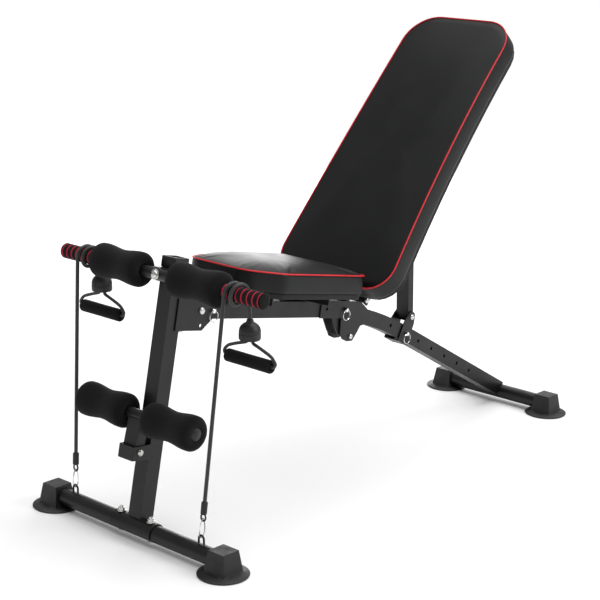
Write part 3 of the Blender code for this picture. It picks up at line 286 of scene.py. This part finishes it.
def nonwoven_liner():
    """Spun-bonded polypropylene stapled over plywood: flat black felt with faint fibres."""
    material, tree, shader, place = surface("nonwoven_liner", IOR=1.45, Roughness=0.88, Sheen_Weight=0.1)
    fibre = add(
        tree, "TexNoise", {"Scale": 1 / (1.2 * MM), "Detail": 6.0, "Distortion": 2.0}, {"Vector": place}
    )
    dots = add(tree, "TexVoronoi", {"Scale": 1 / (2.5 * MM), "Randomness": 0.15}, {"Vector": place})
    tree.links.new(tint(tree, fibre.outputs["Fac"], "#0a0a0b", "#151516"), shader.inputs["Base Color"])
    mixed = add(tree, "Math", None, {0: fibre.outputs["Fac"], 1: dots.outputs["Distance"]}, operation="ADD")
    bumped(tree, shader, mixed.outputs["Value"], 0.3, 0.3 * MM)
    return material


def dipped_latex():
    """Dipped natural latex tube: dark grey with a dusty satin skin."""
    material, tree, shader, place = surface("dipped_latex", IOR=1.52, Sheen_Weight=0.12)
    dust = add(tree, "TexNoise", {"Scale": 1 / (6 * MM), "Detail": 5.0}, {"Vector": place})
    tree.links.new(tint(tree, dust.outputs["Fac"], "#111213", "#232425"), shader.inputs["Base Color"])
    tree.links.new(ramp(tree, dust.outputs["Fac"], 0.3, 0.7, 0.42, 0.66), shader.inputs["Roughness"])
    bumped(tree, shader, dust.outputs["Fac"], 0.12, 0.2 * MM)
    return material


STEEL = powder_coated_steel()
ZINC = zinc_plated_steel()
CHROME = chromed_wire()
RUBBER = moulded_rubber()
PLASTIC = moulded_polypropylene()
FOAM = closed_cell_foam("closed_cell_foam", "#040405", "#0c0c0d")
GRIP_BLACK = closed_cell_foam("grip_foam_black", "#060607", "#0f0f10")
GRIP_RED = closed_cell_foam("grip_foam_red", "#a80f2c", "#d22449")
LEATHER = pvc_leather("pvc_leather_black", "#040506", "#08090a", (0.36, 0.46))
PIPING = pvc_leather("pvc_leather_red", "#c4121f", "#df2a33", (0.34, 0.44))
LINER = nonwoven_liner()
LATEX = dipped_latex()

# ---------------------------------------------------------------- making of pieces


def new_piece(name, shape, materials, body, slot, *replaced):
    """A finished piece, riding on its body and standing for its CAD nodes."""
    piece = bpy.data.objects.new(name, shape)
    bpy.context.scene.collection.objects.link(piece)
    for material in materials:
        shape.materials.append(material)
    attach(piece, body)
    if replaced:
        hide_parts(*replaced)
    return piece


def smoothed(mesh, angle=32.0):
    """Smooth shading, with edges sharper than the angle in degrees kept crisp."""
    mesh.shade_smooth()
    mesh.set_sharp_from_angle(angle=math.radians(angle))
    return mesh


def eased(node, material, slot, edge=0.7 * MM, segments=2):
    """A CAD node's own shape with its corners eased, as pressed, cut and coated metal has."""
    shape = bmesh.new()
    shape.from_mesh(nodes[node].data)
    bmesh.ops.remove_doubles(shape, verts=shape.verts, dist=0.01 * MM)
    bmesh.ops.dissolve_limit(
        shape, angle_limit=math.radians(0.6), verts=shape.verts, edges=shape.edges
    )
    mesh = bpy.data.meshes.new(node + "_made")
    shape.to_mesh(mesh)
    shape.free()
    piece = new_piece(node + "_made", smoothed(mesh), [material], body_of[node], slot, node)
    if edge > 0.0:
        ease = piece.modifiers.new("eased corners", "BEVEL")
        ease.width = edge
        ease.segments = segments
        ease.limit_method = "ANGLE"
        ease.angle_limit = math.radians(40.0)
        ease.use_clamp_overlap = True
        ease.harden_normals = True
        ease.miter_outer = "MITER_ARC"
    return piece


def spun(profile, centre, axis="X", steps=56, tones=None, closed=False):
    """A turned mesh from (radius, height) points; tones gives each stretch's material index."""
    shape = bmesh.new()
    rows = []
    for radius, height in profile:
        row = []
        for index in range(steps):
            turn = 2.0 * math.pi * index / steps
            row.append(shape.verts.new((radius * math.cos(turn), radius * math.sin(turn), height)))
        rows.append(row)
    pairs = list(zip(rows, rows[1:] + rows[:1])) if closed else list(zip(rows, rows[1:]))
    for number, (upper, lower) in enumerate(pairs):
        for index in range(steps):
            after = (index + 1) % steps
            face = shape.faces.new((upper[index], lower[index], lower[after], upper[after]))
            if tones:
                face.material_index = tones[number]
    if not closed:
        for row in (rows[0], rows[-1]):
            shape.faces.new(row)
    bmesh.ops.recalc_face_normals(shape, faces=shape.faces)
    turns = {
        "X": Matrix.Rotation(math.radians(90.0), 4, "Y"),
        "-X": Matrix.Rotation(math.radians(-90.0), 4, "Y"),
        "Z": Matrix.Identity(4),
    }
    bmesh.ops.transform(shape, matrix=Matrix.Translation(centre) @ turns[axis], verts=shape.verts)
    mesh = bpy.data.meshes.new("spun")
    shape.to_mesh(mesh)
    shape.free()
    return mesh


def spline_route(points, steps):
    """A smooth route through points, steps to each stretch."""
    ends = [2 * points[0] - points[1], *points, 2 * points[-1] - points[-2]]
    route = []
    for before, start, stop, after in zip(ends, ends[1:], ends[2:], ends[3:]):
        for index in range(steps):
            t = index / steps
            first = 2 * start + (stop - before) * t
            second = (2 * before - 5 * start + 4 * stop - after) * t * t
            third = (3 * start - before - 3 * stop + after) * t * t * t
            route.append(0.5 * (first + second + third))
    route.append(points[-1])
    return route


def tube(name, route, radius, material, body, slot, *replaced, closed=False, sides=4):
    """A round tube, cord or bead of one radius along a route."""
    curve = bpy.data.curves.new(name, "CURVE")
    curve.dimensions = "3D"
    curve.bevel_depth = radius
    curve.bevel_resolution = sides
    curve.use_fill_caps = not closed
    spline = curve.splines.new("POLY")
    spline.points.add(len(route) - 1)
    spline.use_cyclic_u = closed
    spline.use_smooth = True
    for point, spot in zip(spline.points, route):
        point.co = (*spot, 1.0)
    return new_piece(name, curve, [material], body, slot, *replaced)


# ---------------------------------------------------------------- bands and their handles

BAND_RADIUS = 4.2 * MM
GRIP_RADIUS = 17.0 * MM
EYE_X = 0.198
EYE_RISE = 0.027 + 0.019 + 0.0148
CRIMP_RISE = 0.0378
CRIMP_LENGTH = 0.0400
# The band lies this far clear of the grip, and its last turn comes off this far inside its drop.
WRAP_GAP = 0.6 * MM
WRAP_INSET = 4.0 * MM
HALF_TURNS = 3.0
STOPPER_TOP = 88.0 * MM
STOPPER_RISE = 45.0 * MM
# For each side: the eye, where the band meets the grip, where it drops, and its handle's height.
BANDS = {"right": (EYE_X, 0.210, 0.241, 0.432), "left": (-EYE_X, -0.236, -0.207, 0.449)}


def band_route(places):
    """From the crimp up to the grip, one and a half turns round it, and down to the stopper."""
    eye_x, front_x, drop_x, handle_z = places
    eye = side(0.0, EYE_RISE, eye_x)
    grip = beam(*UPPER_AXIS)
    wrap = GRIP_RADIUS + BAND_RADIUS + WRAP_GAP
    lift_off = Vector((front_x, grip.y - wrap, grip.z))
    up = (lift_off - eye).normalized()
    start = eye + up * (CRIMP_RISE + CRIMP_LENGTH + 0.3 * MM)
    route = [start.lerp(lift_off, index / 24.0) for index in range(24)]
    for index in range(55):
        angle = math.pi - HALF_TURNS * math.pi * index / 54.0
        x = front_x + (drop_x - WRAP_INSET - front_x) * index / 54.0
        route.append(Vector((x, grip.y + wrap * math.cos(angle), grip.z + wrap * math.sin(angle))))
    stopper_top = handle_z + STOPPER_TOP
    for index in range(1, 4):
        height = grip.z + (stopper_top + 1.0 * MM - grip.z) * index / 3.0
        route.append(Vector((drop_x - WRAP_INSET + WRAP_INSET * index / 3.0, grip.y + wrap, height)))
    return route


def bands():
    """The stretch bands, each with its stopper, strap loop and foam handle."""
    grip = beam(*UPPER_AXIS)
    drop_y = grip.y + GRIP_RADIUS + BAND_RADIUS + WRAP_GAP
    for label, places in BANDS.items():
        route = band_route(places)
        cord = tube(
            "stretch_band_" + label, route, BAND_RADIUS, LATEX, "front_post", "latex_band", "band_" + label
        )
        drop_x, handle_z = places[2], places[3]
        hang = Vector((drop_x, drop_y, handle_z))
        bell = [
            (3.0 * MM, 43.0 * MM),
            (6.4 * MM, 43.0 * MM),
            (7.0 * MM, 42.4 * MM),
            (7.6 * MM, 38.5 * MM),
            (8.6 * MM, 36.2 * MM),
            (11.5 * MM, 34.9 * MM),
            (15.0 * MM, 32.8 * MM),
            (18.6 * MM, 29.2 * MM),
            (21.3 * MM, 24.6 * MM),
            (22.5 * MM, 19.0 * MM),
            (22.7 * MM, 15.4 * MM),
            (21.9 * MM, 14.6 * MM),
            (21.9 * MM, 13.4 * MM),
            (22.7 * MM, 12.6 * MM),
            (22.8 * MM, 3.0 * MM),
            (21.4 * MM, 0.4 * MM),
            (19.0 * MM, 0.0),
            (17.5 * MM, 2.0 * MM),
            (3.0 * MM, 2.4 * MM),
        ]
        mesh = smoothed(spun(bell, hang + Vector((0.0, 0.0, STOPPER_RISE)), "Z", 64), 40.0)
        stopper = new_piece(
            "bell_stopper_" + label, mesh, [RUBBER], "front_post", "moulded_rubber", "band_stopper_" + label
        )
        half = [
            (8.5, 43.2),
            (10.0, 38.5),
            (22.0, 34.5),
            (42.0, 28.0),
            (61.0, 20.0),
            (71.0, 7.5),
            (64.0, 0.0),
            (50.0, 0.0),
        ]
        right = [hang + Vector((x * MM, 0.0, z * MM)) for x, z in half]
        left = [hang + Vector((-x * MM, 0.0, z * MM)) for x, z in half]
        strap = tube(
            "handle_strap_" + label,
            spline_route(left + right[::-1], 8),
            3.5 * MM,
            LATEX,
            "front_post",
            "latex_band",
            "handle_cord_" + label,
        )
        foam = [
            (8.2 * MM, 60.4 * MM),
            (9.0 * MM, 61.0 * MM),
            (12.4 * MM, 61.0 * MM),
            (13.5 * MM, 60.2 * MM),
            (13.8 * MM, 58.6 * MM),
            (13.7 * MM, 30.0 * MM),
            (13.6 * MM, 0.0),
            (13.7 * MM, -30.0 * MM),
            (13.8 * MM, -58.6 * MM),
            (13.5 * MM, -60.2 * MM),
            (12.4 * MM, -61.0 * MM),
            (9.0 * MM, -61.0 * MM),
            (8.2 * MM, -60.4 * MM),
        ]
        sleeve = smoothed(spun(foam, hang, "X", 48, closed=True), 40.0)
        body = body_of["handle_grip_" + label]
        new_piece("handle_foam_" + label, sleeve, [FOAM], body, "roller_foam", "handle_grip_" + label)


bands()

# ---------------------------------------------------------------- rollers and grips


def roller_profile(half):
    """Half-turned foam roller: soft shoulders, a long waist and dished ends."""
    bore, full, waist = 13.3 * MM, 38.0 * MM, 33.0 * MM
    shoulder = 18.0 * MM
    run = half - shoulder
    upper = [(bore, half - 2.0 * MM), (bore + 3 * MM, half - 0.4 * MM), (full - 15.0 * MM, half)]
    for index in range(1, 7):
        angle = math.pi / 2.0 * index / 7.0
        radius = full - 15.0 * MM + 15.0 * MM * math.sin(angle)
        upper.append((radius, half - shoulder * 0.72 * (1.0 - math.cos(angle))))
    middle = []
    for index in range(25):
        t = 1.0 - 2.0 * index / 24.0
        dip = math.cos(math.pi / 2.0 * t) ** 2
        middle.append((full - (full - waist) * dip, run * t))
    lower = [(radius, -height) for radius, height in reversed(upper)]
    return upper + middle + lower


def rollers():
    for level, axis, reach in (
        ("upper", UPPER_AXIS, (0.047, 0.190)),
        ("lower", LOWER_AXIS, (0.031, 0.172)),
    ):
        for label, sign in (("left", -1.0), ("right", 1.0)):
            node = f"{level}_roller_{label}"
            centre = beam(*axis, sign * (reach[0] + reach[1]) / 2.0)
            profile = roller_profile((reach[1] - reach[0]) / 2.0)
            mesh = smoothed(spun(profile, centre, "X", 72, closed=True), 60.0)
            new_piece(f"{level}_foam_{label}", mesh, [FOAM], body_of[node], "roller_foam", node)


def end_plugs():
    """Domed plastic plugs pressed into the lower cross tube's ends."""
    for label, sign in (("left", -1.0), ("right", 1.0)):
        profile = [
            (0.5 * MM, 3.6 * MM),
            (6.0 * MM, 3.4 * MM),
            (10.5 * MM, 2.6 * MM),
            (13.4 * MM, 1.2 * MM),
            (14.0 * MM, 0.5 * MM),
            (14.0 * MM, 0.2 * MM),
            (0.5 * MM, 0.2 * MM),
        ]
        axis = "X" if sign > 0 else "-X"
        mesh = smoothed(spun(profile, beam(*LOWER_AXIS, sign * 0.170), axis, 40), 50.0)
        new_piece("tube_plug_" + label, mesh, [PLASTIC], "roller_swing", "cap_plastic")


# Middle of each red ring on a grip, from the bench's centre plane.
RED_RINGS = [0.1975, 0.2110, 0.2350, 0.2500, 0.2650, 0.2800, 0.2950]
RING_HALF = 1.5 * MM


def grips():
    """Ribbed foam grips: rounded black ribs with red rings set in the valleys between them."""
    bore = 13.3 * MM
    for label, sign in (("left", -1.0), ("right", 1.0)):
        inner, outer = 0.1912, 0.3020
        profile = [(bore, inner), (GRIP_RADIUS - 2.0 * MM, inner), (GRIP_RADIUS - 0.6 * MM, inner + 0.8 * MM)]
        tones = [0, 0]
        previous = inner + 0.8 * MM
        for middle in RED_RINGS + [None]:
            stop = outer - 2.5 * MM if middle is None else middle - RING_HALF
            rise = stop - previous
            for index in range(1, 6):
                t = index / 6.0
                swell = math.sin(math.pi * t) ** 0.6
                profile.append((GRIP_RADIUS - 0.8 * MM + 0.8 * MM * swell, previous + rise * t))
                tones.append(0)
            if middle is None:
                break
            profile.append((GRIP_RADIUS - 0.9 * MM, stop))
            tones.append(0)
            profile.append((GRIP_RADIUS - 1.7 * MM, stop + 0.4 * MM))
            tones.append(1)
            profile.append((GRIP_RADIUS - 1.3 * MM, middle))
            tones.append(1)
            profile.append((GRIP_RADIUS - 1.7 * MM, middle + RING_HALF - 0.4 * MM))
            tones.append(1)
            profile.append((GRIP_RADIUS - 0.9 * MM, middle + RING_HALF))
            tones.append(1)
            previous = middle + RING_HALF
        profile += [
            (GRIP_RADIUS - 1.0 * MM, outer - 2.0 * MM),
            (GRIP_RADIUS - 4.5 * MM, outer),
            (3.0 * MM, outer - 0.6 * MM),
            (0.6 * MM, outer - 0.8 * MM),
        ]
        tones += [0, 0, 0, 0]
        axis = "X" if sign > 0 else "-X"
        mesh = smoothed(spun(profile, beam(*UPPER_AXIS), axis, 56, tones), 50.0)
        new_piece(
            "ribbed_grip_" + label,
            mesh,
            [GRIP_BLACK, GRIP_RED],
            "front_post",
            "grip_foam",
            "grip_" + label,
        )


rollers()
end_plugs()
grips()

# ---------------------------------------------------------------- padded seat and backrest


def rounded(corners):
    """An outline through (x, y, radius) corners, each rounded by an arc."""
    points = []
    count = len(corners)
    for number in range(count):
        spot = Vector(corners[number][:2])
        incoming = (Vector(corners[number - 1][:2]) - spot).normalized()
        outgoing = (Vector(corners[(number + 1) % count][:2]) - spot).normalized()
        radius = corners[number][2]
        half_angle = incoming.angle(outgoing) / 2.0
        reach = radius / math.tan(half_angle)
        middle = spot + (incoming + outgoing).normalized() * radius / math.sin(half_angle)
        first = spot + incoming * reach - middle
        last = spot + outgoing * reach - middle
        for index in range(13):
            points.append(middle + first.slerp(last, index / 12.0).normalized() * radius)
    return points


def resampled(points, count):
    """A closed outline's points, moved to even spacing."""
    loop = points + [points[0]]
    lengths = [0.0]
    for a, b in zip(loop, loop[1:]):
        lengths.append(lengths[-1] + (b - a).length)
    total = lengths[-1]
    result = []
    cursor = 0
    for index in range(count):
        want = total * index / count
        while lengths[cursor + 1] < want:
            cursor += 1
        share = (want - lengths[cursor]) / (lengths[cursor + 1] - lengths[cursor])
        result.append(loop[cursor].lerp(loop[cursor + 1], share))
    return result


SEAT_PLAN = [
    (0.131, 0.414, 0.014),
    (0.131, 0.134, 0.050),
    (0.086, 0.050, 0.052),
    (-0.086, 0.050, 0.052),
    (-0.131, 0.134, 0.050),
    (-0.131, 0.414, 0.014),
]


def back_plan():
    """Plan of the backrest: waisted between its rounded ends."""
    turns = [math.radians(7.5 * index) for index in range(13)]
    spots = [BACK_LOW_S + BACK_LOW_CORNER * (1.0 - math.cos(turn)) for turn in turns]
    middle_low = BACK_LOW_S + BACK_LOW_CORNER
    middle_high = BACK_HIGH_S - BACK_HIGH_CORNER
    spots += [middle_low + (middle_high - middle_low) * index / 20.0 for index in range(1, 20)]
    spots += [BACK_HIGH_S - BACK_HIGH_CORNER * (1.0 - math.cos(turn)) for turn in reversed(turns)]
    right = []
    for s in spots:
        half = along_back(BACK_HALF, s)
        for corner, depth in ((BACK_LOW_CORNER, s - BACK_LOW_S), (BACK_HIGH_CORNER, BACK_HIGH_S - s)):
            if depth < corner:
                half -= corner - math.sqrt(max(0.0, corner**2 - (corner - depth) ** 2))
        right.append(Vector((half, s)))
    return right + [Vector((-point.x, point.y)) for point in reversed(right)]


def middle_of(outline):
    return Vector((0.0, sum(point.y for point in outline) / len(outline)))


def inward_at(outline, number):
    """Unit vector square to an outline at one of its points, towards its middle."""
    along = (outline[(number + 1) % len(outline)] - outline[number - 1]).normalized()
    inward = Vector((-along.y, along.x))
    if inward.dot(middle_of(outline) - outline[number]) < 0:
        inward.negate()
    return inward


def stuffed(name, plan, low, high, crown, fullness, to_world):
    """A foam pad in its cover: flat back, drawn-in walls and a crowned face, held along its seams.

    A higher fullness keeps the crown flatter in the middle and rounder at the edge.
    """
    count = 240
    outline = resampled(plan, count)
    middle = middle_of(outline)
    inwards = [inward_at(outline, number) for number in range(count)]
    shape = bmesh.new()
    rows = []
    pinned = []

    def ring(share, height, inset=0.0, held=False):
        row = []
        for point, inward in zip(outline, inwards):
            spot = middle + (point + inward * inset - middle) * share
            row.append(shape.verts.new((spot.x, spot.y, height)))
        rows.append(row)
        if held:
            pinned.append(len(rows) - 1)

    for share in (0.12, 0.3, 0.5, 0.68, 0.82, 0.92):
        ring(share, low, 0.0, True)
    ring(1.0, low, 4.0 * MM, True)
    ring(1.0, low + 1.0 * MM, 1.6 * MM, True)
    walls = 9
    for index in range(1, walls):
        t = index / walls
        ring(1.0, low + 1.0 * MM + (high - low - 2.0 * MM) * t, 1.4 * MM - 0.4 * MM * math.sin(math.pi * t))
    ring(1.0, high - 1.0 * MM, 1.6 * MM, True)
    ring(1.0, high, 3.2 * MM, True)
    for share in (0.955, 0.93, 0.90, 0.86, 0.81, 0.75, 0.68, 0.60, 0.51, 0.41, 0.30, 0.19, 0.08):
        lift = crown * (1.0 - share**fullness)
        ring(share, high + lift, 3.2 * MM)
    for lower, upper in zip(rows, rows[1:]):
        for index in range(count):
            after = (index + 1) % count
            shape.faces.new((lower[index], lower[after], upper[after], upper[index]))
    below = shape.verts.new((middle.x, middle.y, low))
    above = shape.verts.new((middle.x, middle.y, high + crown))
    for index in range(count):
        after = (index + 1) % count
        shape.faces.new((rows[0][after], rows[0][index], below))
        shape.faces.new((rows[-1][index], rows[-1][after], above))
    bmesh.ops.recalc_face_normals(shape, faces=shape.faces)
    shape.verts.index_update()
    held = [vertex.index for number in pinned for vertex in rows[number]] + [below.index]
    mesh = bpy.data.meshes.new(name)
    shape.to_mesh(mesh)
    shape.free()
    pad = bpy.data.objects.new(name, mesh)
    bpy.context.scene.collection.objects.link(pad)
    fill(pad, held)
    for vertex in mesh.vertices:
        vertex.co = to_world(vertex.co)
    mesh.shade_smooth()
    return pad, outline


# The longest move that the simulation may give a point, and how many frames it runs for.
FILL_CAP = 6.0 * MM
FILL_FRAMES = 20


def fill(pad, held):
    """Inflates a pad as cloth under pressure, held along its seams and back, and keeps the result."""
    group = pad.vertex_groups.new(name="held")
    group.add(held, 1.0, "REPLACE")
    start = [vertex.co.copy() for vertex in pad.data.vertices]
    cloth = pad.modifiers.new("fill", "CLOTH")
    rules = cloth.settings
    rules.quality = 6
    rules.mass = 0.4
    rules.tension_stiffness = 25.0
    rules.compression_stiffness = 25.0
    rules.bending_stiffness = 2.0
    rules.vertex_group_mass = "held"
    rules.use_pressure = True
    rules.uniform_pressure_force = 4.0
    rules.effector_weights.gravity = 0.0
    scene = bpy.context.scene
    for number in range(1, FILL_FRAMES + 1):
        scene.frame_set(number)
    result = pad.evaluated_get(bpy.context.evaluated_depsgraph_get())
    moved = [vertex.co.copy() for vertex in result.data.vertices]
    pad.modifiers.remove(cloth)
    scene.frame_set(1)
    for vertex, before, after in zip(pad.data.vertices, start, moved):
        step = after - before
        if step.length > FILL_CAP:
            step *= FILL_CAP / step.length
        vertex.co = before + step


PIPING_RADIUS = 1.7 * MM
PIPING_INSET = 1.5 * MM


def edge_piping(name, outline, height, to_world, body):
    """The bead of red leather sewn into a pad's front seam."""
    route = []
    for number, point in enumerate(outline):
        spot = point + inward_at(outline, number) * PIPING_INSET
        route.append(to_world(Vector((spot.x, spot.y, height))))
    return tube(name, route, PIPING_RADIUS, PIPING, body, "padded_vinyl", closed=True, sides=3)


# A pad's back, its front seam and its crown above that seam, counted out from the beam or the backrest's plane.
SEAT_LEVELS = (56.3 * MM, 100.0 * MM, 15.0 * MM)
BACK_LEVELS = (36.5 * MM, 85.5 * MM, 4.0 * MM)


def pads():
    def seat_place(local):
        return beam(local.y, local.z, local.x)

    def back_place(local):
        return back(local.y, local.z + along_back(BACK_BOW, local.y), local.x)

    seat, outline = stuffed("seat_pad", rounded(SEAT_PLAN), *SEAT_LEVELS, 7, seat_place)
    seat.data.materials.append(LEATHER)
    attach(seat, "seat_frame")
    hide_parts("seat_cushion")
    edge_piping("seat_piping", outline, SEAT_LEVELS[1], seat_place, "seat_frame")

    rest, outline = stuffed("back_pad", back_plan(), *BACK_LEVELS, 5, back_place)
    rest.data.materials.append(LEATHER)
    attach(rest, "backrest")
    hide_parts("backrest_cushion")
    edge_piping("back_piping", outline, BACK_LEVELS[1], back_place, "backrest")


pads()

# ---------------------------------------------------------------- steel, bolts and mouldings

SLOT_LOOKS = {
    "powder_steel": (STEEL, 0.8 * MM),
    "zinc_steel": (ZINC, 0.35 * MM),
    "chrome_steel": (CHROME, 0.0),
    "moulded_rubber": (RUBBER, 0.8 * MM),
    "cap_plastic": (PLASTIC, 0.5 * MM),
    "backing_board": (LINER, 1.5 * MM),
}


def rigid_pieces():
    shown = {entry["node"]: entry["material_slot"] for entry in frame["record"]["subparts"]}
    for node, slot_name in shown.items():
        if nodes[node].hide_render or slot_name not in SLOT_LOOKS:
            continue
        material, edge = SLOT_LOOKS[slot_name]
        eased(node, material, slot_name, edge)


rigid_pieces()

# ---------------------------------------------------------------- floor and light


ROOM_LIGHT = 0.42


def studio():
    mesh = bpy.data.meshes.new("studio_floor")
    size = 14.0
    mesh.from_pydata(
        [(-size, -size, 0.0), (size, -size, 0.0), (size, size, 0.0), (-size, size, 0.0)], [], [(0, 1, 2, 3)]
    )
    material, tree, shader, place = surface("painted_studio_floor", Roughness=0.75)
    cloud = add(tree, "TexNoise", {"Scale": 0.4, "Detail": 2.0}, {"Vector": place})
    tree.links.new(tint(tree, cloud.outputs["Fac"], "#f3f3f3", "#f6f6f6"), shader.inputs["Base Color"])
    mesh.materials.append(material)
    floor = bpy.data.objects.new("studio_floor", mesh)
    bpy.context.scene.collection.objects.link(floor)
    floor.location.z = -0.3 * MM

    world = bpy.data.worlds.new("studio_world")
    bpy.context.scene.world = world
    world.use_nodes = True
    sky = world.node_tree
    dim = sky.nodes["Background"]
    dim.inputs["Color"].default_value = linear("#ffffff")
    dim.inputs["Strength"].default_value = ROOM_LIGHT
    bright = add(sky, "Background", {"Color": linear("#ffffff"), "Strength": 1.0})
    seen = add(sky, "LightPath").outputs["Is Camera Ray"]
    both = add(sky, "MixShader", None, {0: seen, 1: dim.outputs[0], 2: bright.outputs[0]})
    sky.links.new(both.outputs[0], sky.nodes["World Output"].inputs["Surface"])

    for name, kind, place, aim, power, width in (
        ("overhead_scrim", "SUN", (0.3, 0.9, 3.4), (0.0, 0.0, 0.0), 2.4, math.radians(80.0)),
        ("back_strip", "AREA", (-2.6, 3.0, 1.15), (0.0, 0.1, 0.5), 40.0, 1.8),
        ("right_strip", "AREA", (2.7, 0.9, 2.0), (0.0, 0.1, 0.5), 30.0, 1.0),
    ):
        light = bpy.data.lights.new(name, kind)
        light.energy = power
        if kind == "SUN":
            light.angle = width
        else:
            light.shape = "SQUARE"
            light.size = width
        lamp = bpy.data.objects.new(name, light)
        lamp.location = place
        aim_line = Vector(aim) - Vector(place)
        lamp.rotation_euler = aim_line.to_track_quat("-Z", "Y").to_euler()
        bpy.context.scene.collection.objects.link(lamp)


studio()
bpy.context.scene.view_settings.view_transform = "Standard"
